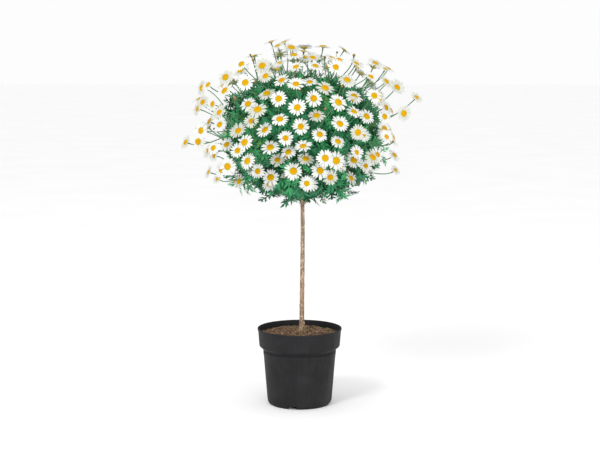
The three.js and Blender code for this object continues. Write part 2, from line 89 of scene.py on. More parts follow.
# A chip's outline, for a chip of half length 1.
CHIP = [(1, 0), (0.35, 0.5), (-0.8, 0.42), (-1, -0.15), (-0.3, -0.55), (0.7, -0.4)]
FIBRES = {"first": 11000, "count": 420, "length": 15, "radius": 0.36}
MOSS = {"first": 12000, "count": 190, "size": (4.2, 1.5, 0.35), "tilt": 75}

TRUNK = {
    "foot": 167.3 - 462, "tip": 506 - 462, "foot_radius": 5.7, "tip_radius": 4.1, "bow": 1.8,
    "flare": 1.5, "flare_height": 8.0, "root_ridges": 5, "sunk": 7.0,
}
BARK = {"rings": 300, "columns": 48, "fissure": 0.26, "ripple": 0.22, "scar_step": 11.0, "scar": 0.55}
BOUGH = {
    "root_radius": 3.0, "tip_radius": 2.3, "collar": 1.1, "knuckle": 0.22, "neighbour_step": 3,
    "steps": 44,
}
# Each ring of the crown's spaces: count, elevation, first turn, start, first fork and rise.
RINGS = [
    {"count": 7, "elevation": 27, "turn": 12, "start": 50, "first": -9, "rise": 3.5},
    {"count": 5, "elevation": 52, "turn": 38, "start": 58, "first": 18, "rise": 2.8},
    {"count": 1, "elevation": 90, "turn": 0, "start": 44, "first": 0, "rise": 0},
]

# The crown's outlines, as in the solids: the leaves reach the first and the flowers the second.
LEAFY = {"middle": 148, "radius": 186, "above": 130, "below": 150, "fullness": 2.9}
FLOWERY = {"middle": 186, "radius": 231, "above": 158, "below": 165, "fullness": 2.2}

# In the sets of values that follow, a name's pair is a value and how far chance moves it.

# The limbs of each space fork from its stem and lean away from it. Each aims at the place that lies
# a span ahead of the fork and a rise above that, and ends on the way there at its reach, a share of
# the leafy outline, with room to its space's walls. Its first steps carry no shoots.
LIMB = {
    "per_space": 5, "steps": 24, "bare_steps": 4, "root_radius": 1.9, "tip_radius": 1.1,
    "lean": (0.42, 0.1), "fork": (0.12, 0.5), "pull": 0.45, "span": 190, "rise": 60,
    "reach": (0.66, 0.06), "room": 4,
}
# The shoots end near the leafy outline, or deeper inside. Stalks leave from their outer steps.
SHOOT = {
    "outer": 450, "inner": 100, "lowest": -80, "crowding": 0.9, "steps": 12, "stalks_from": 7,
    "outer_reach": (0.68, 0.25), "inner_reach": (0.5, 0.2), "hang": 10, "root_radius": 1.15,
    "tip_radius": 0.7, "length": 62, "pull": 0.55, "lift": 0.42, "wander": 0.3, "leaves": 11,
    "first_leaf": 0.42,
}
# A few shoots hang round the fork like a skirt, to this height above it.
SKIRT = {"first": 2000, "count": 10, "turn": 12, "radius": (17, 11), "height": (31, 10)}
LEAF = {
    "length": 61.0, "length_spread": 0.18, "young": 0.52, "open": 76.0, "closed": 20.0,
    "open_spread": 9, "roll": 52.0, "droop": 0.12, "edge": (1.02, 0.04),
}
# The share of shoots whose leaves may reach past the edge, how much further, and how much of the
# edge is bare underneath.
RAGGED = {"share": 0.22, "further": 0.13, "bare_under": 0.1}
# The lobes on each side of a leaf, from its root up: where each starts and how long it is, as
# shares of the leaf's length. Then a lobe's own outline: a share along it and a width.
LEAF_LOBES = [(0.24, 0.3), (0.45, 0.37), (0.66, 0.27)]
LOBE = [(0, -0.026), (0.5, -0.043), (1, 0), (0.5, 0.043), (0.3, 0.035), (0, 0.03), (0.7, 0.12)]
LOBE_FACES = [[0, 1, 5], [1, 3, 5], [1, 2, 3], [4, 3, 6]]
END_LOBE = [(0.8, 0.024), (0.88, 0.055), (1, 0), (0.89, -0.055), (0.8, -0.024)]
END_LOBE_FACES = [[0, 3, 1], [0, 4, 3], [1, 3, 2]]
# The leaves' tints from old to young, and from painted shade to lit: name, colour and share of the leaves.
LEAF_TINTS = [
    ("deep green", "#1a6340", 0.2),
    ("blue green", "#257d51", 0.28),
    ("mid green", "#2d8952", 0.26),
    ("fresh green", "#3d9a5c", 0.17),
    ("yellow green", "#5b9445", 0.09),
]
# The tints are dealt by spray and by youth, which is the leaves' own colour, and darker underneath and on
# the inner shoots, which is painted shade.
TINTING = {"spray": 0.72, "young": 0.36, "least": -0.04, "under": 0.36, "inner": 0.4}

# The open flowers: the plane of their petals lies this far over the flat underside, and nothing stands in
# front of them for the length of view. The last two values bound the chance that a flower gets the darker
# creamy petals, which are partly old petals and partly painted shade on flowers that face away from the
# light.
FLOWER = {
    "count": 284, "petals": 18, "radius": 18.3, "radius_spread": 0.12, "lowest": -48,
    "crowding": 1.0, "sun_side": 0.3, "stray": 0.05, "apart": 0.212, "deepest": 0.8,
    "furthest": 1.04, "pitch": (3, 9), "plane": 3.3, "view": 70, "least_creamy_and_shaded": 0.1,
    "most_creamy_and_shaded": 0.85,
}
FACING = {
    "least_lift": 0.2, "most_lift": 1.35, "fan": 1.3, "side_turn": 0.62, "sides_end": 0.35,
    "pull": 1.25, "sun_ends": 0.85, "top_freedom": 0.85, "nod": 0.42,
}
# Where flowers are fewer: the share that is missing in the end, the height, depth or distance to
# the side from which it grows, on a ball of radius 1, and over how far it grows.
BARE = {"top": (0.65, 0.42, 0.35), "bottom": (0.5, 0.3, 0.4), "sides": (0.3, 0.6, 0.3)}
# More flowers for the side that faces away from the sun, and where on the ball they may stand.
SPARE = {
    "first": 400, "count": 22, "tried": 2000, "behind": 0.35, "aside": 0.78, "height": -0.06,
    "height_spread": 0.48,
}
# The few flowers that stand furthest out.
STRAYS = {
    "first": 1000,
    "azimuth": [183, -4, -8, 168, 184, 191],
    "elevation": [-12.5, 9.5, -29.5, 67, -31, -36],
    "reach": [1.14, 1.11, 1.11, 1.06, 1.12, 1.12],
    "size": [0.95, 0.85, 0.7, 0.95, 0.85, 0.8],
}
# Half-open flowers, their size a share of an open one's, and buds.
HALF_OPEN = {
    "first": 3000, "count": 24, "lowest": -38, "crowding": 0.95, "deepest": 0.8, "furthest": 1.0,
    "size": (0.5, 0.16), "pitch": (42, 14),
}
BUDS = {
    "first": 4000, "count": 74, "lowest": -38, "crowding": 0.95, "deepest": 0.78, "furthest": 1.02,
    "radius": (2.3, 1.2),
}
# A stalk leaves from a shoot near a place this deep under its flower, towards the crown's middle.
STALK = {
    "steps": 12, "root_radius": 1.25, "tip_radius": 1.0, "neck": 0.75, "arch": 0.4, "depth": 75,
    "middle": 108, "wander": 34.0, "tries": 6,
}
# A petal's (share along, half width), for a flower of radius 1.
PETAL = [(0.25, 0.045), (0.45, 0.088), (0.66, 0.113), (0.84, 0.103), (0.95, 0.066), (1, 0.026)]
# Profiles of (radius, height): a flower's disc and cup, for a flower of radius 1, and a bud.
DISC_RIM = [(0.36, -0.03), (0.4, 0.035), (0.388, 0.075), (0.336, 0.115), (0.216, 0.14)]
DISC_MIDDLE = [(0.224, 0.134), (0.144, 0.155), (0.072, 0.15), (0, 0.142)]
CUP = [(0.05, -0.17), (0.12, -0.15), (0.25, -0.09), (0.33, 0.0), (0.34, 0.04), (0.2, 0.05), (0, 0.05)]
BUD_SCALES = [(0.3, -0.9), (0.75, -0.7), (1.02, -0.1), (0.93, 0.35), (0.66, 0.66)]
BUD_TIP = [(0.7, 0.6), (0.6, 0.82), (0.34, 1.0), (0, 1.06)]

# The studio, in metres, millimetres of lens, and watts.
CAMERA = {"place": (0.0009, -3.150, 0.795), "target": (0.0009, 0, 0.4065), "lens": 84.96}
SOFTBOXES = [
    {"name": "key softbox", "place": (-1.7, -2.7, 2.9), "target": (0, 0, 0.55), "width": 1.0, "power": 57},
    {"name": "fill softbox", "place": (1.3, -3.3, 0.55), "target": (0, 0, 0.6), "width": 1.6, "power": 43},
]
FLOOR_HALF = 30


# Repeatable chance, and the crown's rules


def chance(item, lane):
    """A repeatable number from 0 to 1: the fraction of a large sine of the item and lane."""
    wave = np.sin(np.asarray(item) * 12.9898 + lane * 78.233 + 4.1) * 43758.5453
    return wave - np.floor(wave)


def spread(item, lane):
    """A repeatable number from -1 to 1."""
    return 2 * chance(item, lane) - 1


def varied(item, lane, middle, strays):
    """A value that strays both ways from its middle: middle + strays * spread."""
    return middle + strays * spread(item, lane)


def at_least(item, lane, least, more):
    """A value that is larger by chance: least + more * chance."""
    return least + more * chance(item, lane)


def stray(item, lane):
    """A repeatable vector, each part from -1 to 1, from this lane and the next two."""
    return np.stack([spread(item, lane + k) for k in range(3)], axis=-1)


def between(low, high, share):
    """The value at a share of the way from one to another: low + (high - low) share."""
    return low + (high - low) * share


def lengths(vectors, keep=True):
    """The lengths of vectors, which keep their last axis or not."""
    return np.linalg.norm(vectors, axis=-1, keepdims=keep)


def unit(vectors):
    """Vectors cut to length 1."""
    return vectors / np.maximum(lengths(vectors), 1e-9)


def turned(first, second, angle):
    """Directions turned from a first to a second by an angle: cos a first + sin a second."""
    return first * np.cos(angle) + second * np.sin(angle)


def nearest(wanted, places):
    """For each wanted point the nearest of some places."""
    return places[np.argmin(lengths(wanted[:, None] - places[None], False), axis=-1)]


def heading(azimuth, elevation):
    """The direction (cos e cos a, cos e sin a, sin e) of an azimuth and elevation in degrees."""
    a, e = np.broadcast_arrays(np.radians(azimuth), np.radians(elevation))
    return np.stack([np.cos(e) * np.cos(a), np.cos(e) * np.sin(a), np.sin(e)], axis=-1)


def not_along(direction, steep=0.9):
    """For each direction another that isn't along it: up, or +X where it stands nearly upright."""
    return np.where(np.abs(direction[..., 2:]) > steep, np.eye(3)[0], UP)


def even_heading(item, lowest, crowding):
    """Directions spread evenly over a ball above a lowest elevation, by a two-way golden rule."""
    turn = (0.5 + item * 0.5698402909980532) % 1
    share = (0.5 + item * 0.7548776662466927) % 1
    height = between(math.sin(math.radians(lowest)), 1, share**crowding)
    flat = np.sqrt(1 - height**2)
    return np.stack([flat * np.cos(2 * np.pi * turn), flat * np.sin(2 * np.pi * turn), height], axis=-1)


def outline_reach(outline, direction):
    """How far an outline lies from its middle in a direction: (flat^n + tall^n)^(-1/n)."""
    full = outline["fullness"]
    tall = np.where(direction[..., 2] < 0, outline["below"], outline["above"])
    flat = np.hypot(direction[..., 0], direction[..., 1]) / outline["radius"]
    return (flat**full + (np.abs(direction[..., 2]) / tall) ** full) ** (-1 / full)


def on_outline(outline, direction, share):
    """Points at a share of an outline's reach from its middle."""
    return outline["middle"] * UP + direction * (share * outline_reach(outline, direction))[..., None]


def share_of(outline, points):
    """How far out points lie, as shares of an outline's reach."""
    away = points - outline["middle"] * UP
    return lengths(away, False) / outline_reach(outline, unit(away))


# The ring of each of the crown's spaces, its place in the ring, its axis, and where it starts.
RING_OF = np.repeat(np.arange(len(RINGS)), [ring["count"] for ring in RINGS])
PLACE_OF = np.concatenate([np.arange(ring["count"]) for ring in RINGS])


def of_ring(key):
    """A value of each space's ring."""
    return np.array([RINGS[number][key] for number in RING_OF])


AXES = heading(of_ring("turn") + PLACE_OF * 360 / of_ring("count"), of_ring("elevation"))
STARTS = of_ring("start")


def keep_in(points, home, room):
    """Points moved away from their space's walls until they have room on all sides."""
    kept = points.copy()
    for _ in range(4):
        for other in range(len(AXES)):
            wall = unit(AXES[home] - AXES[other])
            short = room - np.sum(wall * kept, axis=-1)
            push = np.where((short > 0) & (home != other), short, 0.0)
            kept += wall * push[..., None]
    return kept


def bend_through(root, bend, tip, steps):
    """Points and tangents of quadratic Bezier curves: (1-t)^2 root + 2t(1-t) bend + t^2 tip."""
    t = np.linspace(0, 1, steps)[:, None]
    root, bend, tip = root[..., None, :], bend[..., None, :], tip[..., None, :]
    points = (1 - t) ** 2 * root + 2 * t * (1 - t) * bend + t**2 * tip
    tangents = unit(2 * (1 - t) * (bend - root) + 2 * t * (tip - bend))
    return points, tangents


def bend_before(tip, root, growth, pull):
    """The bend of curves that arrive along their growth: tip - pull |tip - root| growth."""
    return tip - growth * pull * lengths(tip - root)


# Meshes: each surface is a pair of points and faces, and a piece joins many


def grid_faces(rows, columns, around=True):
    """The quads of a grid of rows by columns, its columns closed round if it goes around."""
    wide = columns if around else columns - 1
    row, column = np.meshgrid(np.arange(rows - 1), np.arange(wide), indexing="ij")
    a = row * columns + column
    b = row * columns + (column + 1) % columns
    return np.stack([a, b, b + columns, a + columns], axis=-1).reshape(-1, 4)


def repeated(faces, copies, size):
    """The faces of one surface repeated for many copies of it, each with size points."""
    steps = np.arange(copies)[:, None, None] * size
    return (faces[None] + steps).reshape(-1, faces.shape[1])


def sharing(points, quads, triangles):
    """Quads and triangles on the same points, as two surfaces: the second brings no points, and
    counts back into the first's."""
    return [(points, quads), (np.zeros((0, 3)), triangles - len(points))]


def tubes(centres, tangents, radius, sides):
    """Round tubes along many curves: centre + r (cos a across + sin a upward), capped at both ends."""
    count, steps = centres.shape[:2]
    chord = centres[:, -1] - centres[:, 0]
    plane = np.cross(tangents[:, 0], chord)
    bent = lengths(plane) > 1e-3 * lengths(chord)
    plane = np.where(bent, plane, np.cross(chord, not_along(unit(chord), 0.8)))
    across = unit(plane)[:, None, :] * np.ones((1, steps, 1))
    upward = np.cross(tangents, across)
    angle = np.linspace(0, 2 * np.pi, sides, endpoint=False)[:, None]
    ring = turned(across[:, :, None], upward[:, :, None], angle)
    points = centres[:, :, None] + ring * np.broadcast_to(radius, (count, steps))[:, :, None, None]
    size = steps * sides
    fan = np.array([[0, i + 1, i] for i in range(1, sides - 1)])
    lids = np.concatenate([fan, fan[:, ::-1] + size - sides])
    walls = grid_faces(steps, sides)[:, ::-1]
    return sharing(points.reshape(-1, 3), repeated(walls, count, size), repeated(lids, count, size))


def copies_of(shape, faces, origins, frames, sizes):
    """Copies of one small shape: origin + size * (x, y, z of the shape) laid along each frame."""
    points = np.einsum("vk,nkj->nvj", shape, frames) * np.reshape(sizes, (-1, 1, 1)) + origins[:, None, :]
    return points.reshape(-1, 3), repeated(faces, len(origins), len(shape))


def frames_facing(front, toward):
    """Frames whose third row is the front and whose first leans to a second direction."""
    z = unit(front)
    y = unit(np.cross(z, toward))
    return np.stack([np.cross(y, z), y, z], axis=-2)


def weld(points, faces):
    """Joins points that coincide, and turns the quads that this pinches into triangles."""
    _, first, back = np.unique(np.round(points, 4), axis=0, return_index=True, return_inverse=True)
    welded = back.reshape(-1)[faces]
    same = welded == np.roll(welded, -1, axis=1)
    whole = welded[~same.any(axis=1)]
    pinched = welded[same.sum(axis=1) == 1]
    corner = np.argmax(pinched == np.roll(pinched, -1, axis=1), axis=1)
    order = (corner[:, None] + np.arange(1, 4)) % 4
    return sharing(points[first], whole, np.take_along_axis(pinched, order, axis=1))


def joined(surfaces):
    """The points of many surfaces in one array, and the faces of each counted in it."""
    starts = np.cumsum([0] + [len(points) for points, _ in surfaces])
    faces = [own + start for (_, own), start in zip(surfaces, starts)]
    return np.concatenate([points for points, _ in surfaces]), faces


def make_mesh(name, surfaces, origin, smooth):
    """Joins surfaces into one mesh in metres, drawn from an origin in millimetres."""
    points, faces = joined(surfaces)
    loops = np.concatenate([own.ravel() for own in faces])
    sizes = np.concatenate([np.full(len(own), own.shape[1]) for own in faces])
    mesh = bpy.data.meshes.new(name)
    mesh.vertices.add(len(points))
    mesh.vertices.foreach_set("co", ((points + origin) * 0.001).astype(np.float32).ravel())
    mesh.loops.add(len(loops))
    mesh.loops.foreach_set("vertex_index", loops.astype(np.int32))
    mesh.polygons.add(len(sizes))
    mesh.polygons.foreach_set("loop_start", (np.cumsum(sizes) - sizes).astype(np.int32))
    mesh.polygons.foreach_set("use_smooth", np.full(len(sizes), smooth))
    mesh.update(calc_edges=True)
    mesh.validate()
    return mesh


def face_outwards(mesh):
    """Turns a closed mesh's faces outwards."""
    solid = bmesh.new()
    solid.from_mesh(mesh)
    bmesh.ops.recalc_face_normals(solid, faces=solid.faces)
    solid.to_mesh(mesh)
    solid.free()


def make_piece(name, surfaces, material, slot, nodes, origin=FORK, smooth=True, crease=None, closed=False):
    """A piece that rides on the plant and stands for its nodes."""
    mesh = make_mesh(name, surfaces, origin, smooth)
    if closed:
        face_outwards(mesh)
    if crease is not None:
        mesh.set_sharp_from_angle(angle=math.radians(crease))
    mesh.materials.append(material)
    piece = bpy.data.objects.new(name, mesh)
    bpy.context.scene.collection.objects.link(piece)
    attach(piece, "root")
    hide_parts(*nodes)


# Materials


def linear(colour):
    """An sRGB hex colour as linear red, green, blue and alpha."""
    value = np.array([int(colour[i : i + 2], 16) for i in (1, 3, 5)]) / 255
    value = np.where(value <= 0.04045, value / 12.92, ((value + 0.055) / 1.055) ** 2.4)
    return (*value.tolist(), 1.0)


def per_mm(size):
    """The scale of a pattern whose marks are this many millimetres wide."""
    return 1000 / size


def connect(node, inputs):
    """Sets a node's inputs, by name or number, to values or to other nodes' sockets."""
    for name, value in inputs.items():
        if isinstance(value, bpy.types.NodeSocket):
            node.id_data.links.new(value, node.inputs[name])
        else:
            node.inputs[name].default_value = value


def add(tree, kind, inputs, **settings):
    """Adds a shader node with its inputs and settings."""
    node = tree.nodes.new("ShaderNode" + kind)
    for name, value in settings.items():
        setattr(node, name, value)
    connect(node, inputs)
    return node


def start_material(name):
    """A new material, its nodes, and the object's own coordinates, in metres."""
    material = bpy.data.materials.new(name)
    material.use_nodes = True
    tree = material.node_tree
    return material, tree, add(tree, "TexCoord", {}).outputs["Object"]


def finish(material, inputs):
    """The material with its shader's inputs set."""
    connect(material.node_tree.nodes["Principled BSDF"], inputs)
    return material


def ramp(tree, pattern, stops):
    """A pattern's colours, through (value, hex colour) stops."""
    node = add(tree, "ValToRGB", {"Fac": pattern})
    line = node.color_ramp
    while len(line.elements) < len(stops):
        line.elements.new(0.5)
    for element, (position, colour) in zip(line.elements, stops):
        element.position = position
        element.color = linear(colour)
    return node.outputs["Color"]


def fine_relief(tree, place, width, detail, strength, depth):
    """A fine uneven relief: marks this many millimetres wide, and this deep in metres."""
    marks = add(tree, "TexNoise", {"Vector": place, "Scale": per_mm(width), "Detail": detail})
    height = marks.outputs["Fac"]
    bump = add(tree, "Bump", {"Height": height, "Strength": strength, "Distance": depth})
    return bump.outputs["Normal"]


def pot_plastic():
    """Black polypropylene, injection moulded: dark grey and matt, with a fine grain from the mould,
    a dusty film that lies unevenly, and thin rubbed streaks."""
    material, tree, place = start_material("black polypropylene, injection moulded")
    film = add(tree, "TexNoise", {"Vector": place, "Scale": per_mm(42), "Detail": 5.0, "Roughness": 0.62})
    dust = ramp(tree, film.outputs["Fac"], [(0.32, "#171718"), (0.55, "#1c1c1e"), (0.74, "#242325")])
    streaks = add(tree, "Mapping", {"Vector": place, "Scale": (1, 1, 0.16)}).outputs["Vector"]
    rubbed = add(tree, "TexNoise", {"Vector": streaks, "Scale": per_mm(9), "Detail": 6.0})
    limits = {"From Min": 0.3, "From Max": 0.7, "To Min": 0.5, "To Max": 0.7}
    rough = add(tree, "MapRange", {"Value": rubbed.outputs["Fac"], **limits}).outputs["Result"]
    # The mould's grain is about 0.3 mm, drawn at 0.9 mm so that it shows.
    grain = fine_relief(tree, place, 0.9, 3.0, 0.25, 0.0002)
    gloss = {"IOR": 1.49, "Specular IOR Level": 0.2, "Roughness": rough}
    return finish(material, {"Base Color": dust, "Normal": grain, **gloss})


def peat(name, tints, grain):
    """Potting compost, sieved peat and composted bark: rough and dull, dark where it is damp and
    paler on dry grains, which are this many millimetres wide."""
    material, tree, place = start_material(name)
    damp = add(tree, "TexNoise", {"Vector": place, "Scale": per_mm(grain), "Detail": 8.0, "Roughness": 0.7})
    tint = ramp(tree, damp.outputs["Fac"], list(zip((0.36, 0.5, 0.66), tints)))
    grit = fine_relief(tree, place, 0.8, 4.0, 0.8, 0.0006)
    dull = {"Roughness": 0.95, "Specular IOR Level": 0.2}
    return finish(material, {"Base Color": tint, "Normal": grit, **dull})


def bark():
    """Marguerite bark, thin and corky: pale tan ridges between darker cracks that run up the
    trunk, greyer where it has weathered and nearly white where its skin has peeled."""
    material, tree, place = start_material("marguerite bark")
    along = add(tree, "Mapping", {"Vector": place, "Scale": (1, 1, 0.2)}).outputs["Vector"]
    marks = {"Scale": per_mm(2.4), "Detail": 7.0, "Roughness": 0.68, "Distortion": 0.4}
    cracks = add(tree, "TexNoise", {"Vector": along, **marks}).outputs["Fac"]
    ridges = ramp(tree, cracks, [(0.34, "#503b2e"), (0.43, "#80634c"), (0.55, "#a2866b"), (0.7, "#c2aa90")])
    weather = add(tree, "TexNoise", {"Vector": place, "Scale": per_mm(38), "Detail": 3.0})
    grey = ramp(tree, weather.outputs["Fac"], [(0.4, "#ffffff"), (0.66, "#c2c8ba")])
    tint = add(tree, "Mix", {0: 0.7, 6: ridges, 7: grey}, data_type="RGBA", blend_type="MULTIPLY")
    peeled = add(tree, "TexNoise", {"Vector": place, "Scale": per_mm(4), "Detail": 5.0, "Roughness": 0.7})
    where = ramp(tree, peeled.outputs["Fac"], [(0.54, "#000000"), (0.65, "#ffffff")])
    flecked = add(tree, "Mix", {0: where, 6: tint.outputs[2], 7: linear("#dccbbb")}, data_type="RGBA")
    bump = add(tree, "Bump", {"Height": cracks, "Strength": 0.8, "Distance": 0.0007}).outputs["Normal"]
    dull = {"Roughness": 0.86, "Specular IOR Level": 0.3}
    return finish(material, {"Base Color": flecked.outputs[2], "Normal": bump, **dull})


def soft_green(name, colour, roughness, grain, depth, sheen=0.0):
    """A leaf, stalk or bract: one plain colour, with a fine grain of cells that breaks its gloss."""
    material, tree, place = start_material(name)
    cells = fine_relief(tree, place, grain, 3.0, 0.5, depth)
    soft = {"Roughness": roughness, "Sheen Weight": sheen, "Specular IOR Level": 0.35}
    return finish(material, {"Base Color": linear(colour), "Normal": cells, **soft})


def petal_tissue(name, colour):
    """Ray petals: thin white tissue, silky. A painted glow stands in for the light that comes through the
    tissue, so that a petal is pale on its shaded side too."""
    material, tree, place = start_material(name)
    silk = fine_relief(tree, place, 0.7, 2.0, 0.25, 0.0001)
    # Painted light: a faint emission in place of the light that passes through the petal.
    painted_glow = {"Emission Color": linear("#f4f8f2"), "Emission Strength": 0.18}
    soft = {"Roughness": 0.55, "Sheen Weight": 0.1}
    return finish(material, {"Base Color": linear(colour), "Normal": silk, **painted_glow, **soft})


def disc_florets(name, colour):
    """The flower's middle: hundreds of tiny tubes packed side by side, 0.7 mm wide, drawn at 1 mm."""
    material, tree, place = start_material(name)
    florets = add(tree, "TexVoronoi", {"Vector": place, "Scale": per_mm(1.0)}).outputs["Distance"]
    bump = add(tree, "Bump", {"Height": florets, "Strength": 0.9, "Distance": 0.0005}, invert=True)
    dull = {"Roughness": 0.9, "Specular IOR Level": 0.08}
    return finish(material, {"Base Color": linear(colour), "Normal": bump.outputs["Normal"], **dull})


def studio_floor():
    """A plain pale studio floor, matt paper white, with a faint mottle."""
    material, tree, place = start_material("studio floor, matt white paper")
    mottle = add(tree, "TexNoise", {"Vector": place, "Scale": per_mm(400), "Detail": 2.0})
    pale = ramp(tree, mottle.outputs["Fac"], [(0.3, "#fafafa"), (0.7, "#fdfdfd")])
    return finish(material, {"Base Color": pale, "Roughness": 0.9})


# The pot


def rounded(profile, steps=4):
    """A profile with its corners rounded: at each, a quadratic Bezier between points on its sides."""
    corners = np.array(profile, float)
    line = [corners[0, :2]]
    for before, corner, after in zip(corners, corners[1:], corners[2:]):
        point, size = corner[:2], corner[2]
        if size == 0:
            line.append(point)
            continue
        start = point + unit(before[:2] - point) * size
        end = point + unit(after[:2] - point) * size
        line.extend(bend_through(start, point, end, steps)[0])
    line.append(corners[-1, :2])
    return np.array(line)


def pot_angles():
    """The angles of the pot's columns, a few of them moved on to the sides of the foot's notches."""
    angles = -22.5 + np.arange(POT_COLUMNS) * 360 / POT_COLUMNS
    for i in range(NOTCH["count"]):
        middle = NOTCH["turn"] + i * 360 / NOTCH["count"]
        for side in (-NOTCH["low"], -NOTCH["high"], NOTCH["high"], NOTCH["low"]):
            away = (angles - middle - side + 180) % 360 - 180
            closest = np.argmin(np.abs(away))
            angles[closest] -= away[closest]
    return np.radians(angles)


def lathed(profile, angles):
    """A profile of (radius, height) turned round: (r cos a, r sin a, z)."""
    r, z = profile[:, :1], profile[:, 1:]
    points = np.stack([r * np.cos(angles), r * np.sin(angles), z + 0 * angles], axis=-1)
    return points.reshape(-1, 3), grid_faces(len(profile), len(angles))


def notched(points):
    """Lifts the foot's points to the notch's roof between the upper sides of each notch."""
    radius = np.hypot(points[:, 0], points[:, 1])
    turn = np.degrees(np.arctan2(points[:, 1], points[:, 0])) - NOTCH["turn"]
    step = 360 / NOTCH["count"]
    away = np.abs((turn + step / 2) % step - step / 2)
    inside = (away < NOTCH["high"] + 0.05) & (radius > NOTCH["inner"]) & (points[:, 2] < NOTCH["height"])
    return np.column_stack([points[:, :2], np.where(inside, NOTCH["height"], points[:, 2])])


def drilled_ring(angles, inner, outer, height):
    """A flat ring with drain holes. Each eighth is a grid from its hole's edge out to its four
    sides, along straight lines: hole + t (side - hole). Also gives the holes' edges."""
    per_hole = POT_COLUMNS // DRAIN["count"]
    steps = DRAIN["steps_out"]
    surfaces, edges = [], []
    for i in range(DRAIN["count"]):
        arc = angles[np.arange(i * per_hole, (i + 1) * per_hole + 1) % POT_COLUMNS]
        radii = np.linspace(inner, outer, steps + 1)
        turns = np.concatenate([arc[:-1], np.full(steps, arc[-1]), arc[:0:-1], np.full(steps, arc[0])])
        near, far = np.full(per_hole, inner), np.full(per_hole, outer)
        reach = np.concatenate([near, radii[:-1], far, radii[:0:-1]])
        side = np.column_stack([reach * np.cos(turns), reach * np.sin(turns)])
        turn = math.radians(i * 360 / DRAIN["count"])
        middle = DRAIN["circle"] * np.array([math.cos(turn), math.sin(turn)])
        hole = middle + DRAIN["radius"] * unit(side - middle)
        rows = np.stack([hole, (hole + side) / 2, side])
        points = np.dstack([rows, np.full(rows.shape[:2], height)]).reshape(-1, 3)
        surfaces.append((points, grid_faces(3, len(side))))
        edges.append(hole)
    return surfaces, edges


def pot_surfaces():
    """The pot: lathed pad, wall and inner floor, the two drilled rings, and the drain holes' walls."""
    angles = pot_angles()
    surfaces = [lathed(rounded(profile), angles) for profile in (POT_PAD, POT_WALL, POT_FLOOR)]
    (outer, under, _), (_, over, _) = POT_WALL[0], POT_WALL[-1]
    low_ring, edges = drilled_ring(angles, POT_PAD[-1][0], outer, under)
    high_ring, _ = drilled_ring(angles, POT_FLOOR[0][0], outer, over)
    surfaces += low_ring + high_ring
    for edge in edges:
        rows = [np.column_stack([edge, np.full(len(edge), z)]) for z in (under, over)]
        surfaces.append((np.concatenate(rows), grid_faces(2, len(edge))))
    points, faces = joined(surfaces)
    return weld(notched(points), np.concatenate(faces))


# The compost


def lumps(x, y, size, lane):
    """A smooth uneven field from -1 to 1: a sum of nine crossed sine waves about a size apart."""
    total = 0
    for k in range(9):
        turn = GOLDEN_ANGLE * k + chance(k, lane)
        pitch = 2 * np.pi / (size * (0.6 + 0.9 * chance(k, lane + 1)))
        along = x * math.cos(turn) + y * math.sin(turn)
        total = total + np.sin(pitch * along + 6.28 * chance(k, lane + 2))
    return total / 4.5


def heap_height(x, y):
    """The compost's height: its heap's profile, plus lumps of three sizes that fade at the rim."""
    radius = np.hypot(x, y)
    height = np.interp(radius, *np.transpose(HEAP))
    rough = 1.5 * lumps(x, y, 34, 21) + 0.9 * lumps(x, y, 13, 24) + 0.6 * np.abs(lumps(x, y, 5, 27))
    return height + rough * np.clip((93 - radius) / 8, 0.25, 1)


def compost_surfaces():
    """The compost: one lathed body whose upper rings rise and fall with the heap."""
    rings = HEAP[-1][0] * np.linspace(0, 1, HEAP_RINGS) ** 0.9
    top = np.column_stack([rings, np.full(HEAP_RINGS, np.nan)])
    angles = np.linspace(0, 2 * np.pi, HEAP_COLUMNS, endpoint=False)
    points, faces = lathed(np.concatenate([top, HEAP_SIDE]), angles)
    upper = np.isnan(points[:, 2])
    points[upper, 2] = heap_height(points[upper, 0], points[upper, 1])
    return weld(points, faces)


def scattered(item, furthest):
    """Places all over the heap, evenly: a golden spiral with a little chance in each step."""
    share = (np.arange(len(item)) + 0.5) / len(item)
    radius = furthest * np.sqrt(np.clip(share + 0.04 * spread(item, 31), 0, 1))
    turn = GOLDEN_ANGLE * np.arange(len(item)) + 0.5 * spread(item, 32)
    x, y = radius * np.cos(turn), radius * np.sin(turn)
    return np.column_stack([x, y, heap_height(x, y)])


def chips(item, places, length, width, thickness, tilt=35):
    """Splinters: lozenges of chance lengths that lie on the heap at any turn, half sunk in it and
    tipped by chance up to a tilt in degrees."""
    shape = np.array([(x, y, 0) for x, y in CHIP])
    low = shape * (0.5, width / length, 1) - (0, 0, thickness / length)
    high = shape * (0.42, 0.8 * width / length, 1) + (0, 0, thickness / length)
    lid = np.array([[6, 7, 8, 9], [6, 9, 10, 11]])
    faces = np.concatenate([grid_faces(2, len(shape)), lid, (lid - len(shape))[:, ::-1]])
    sizes = length * (0.45 + 0.75 * chance(item, 36))
    front = unit(heading(360 * chance(item, 33), 90 - tilt * chance(item, 34)))
    frames = frames_facing(front, heading(360 * chance(item, 35), 0))
    return copies_of(np.concatenate([low, high]), faces, places, frames, sizes)


def moss_places(item):
    """Places for moss and seedlings: one in three close round the trunk's foot, and the others
    in clumps by the rim on the right."""
    foot = item % 3 == 0
    clump = np.radians(-14 + 22 * (item % 5) + 9 * spread(item, 42))
    turn = np.where(foot, 2 * np.pi * chance(item, 43), clump)
    radius = np.where(foot, 7.5 + 5 * chance(item, 44), 89 - 13 * chance(item, 44) ** 1.5)
    x = radius * np.cos(turn) + np.where(foot, FORK[0], 0)
    y = radius * np.sin(turn)
    return np.column_stack([x, y, heap_height(x, y) + 0.5])


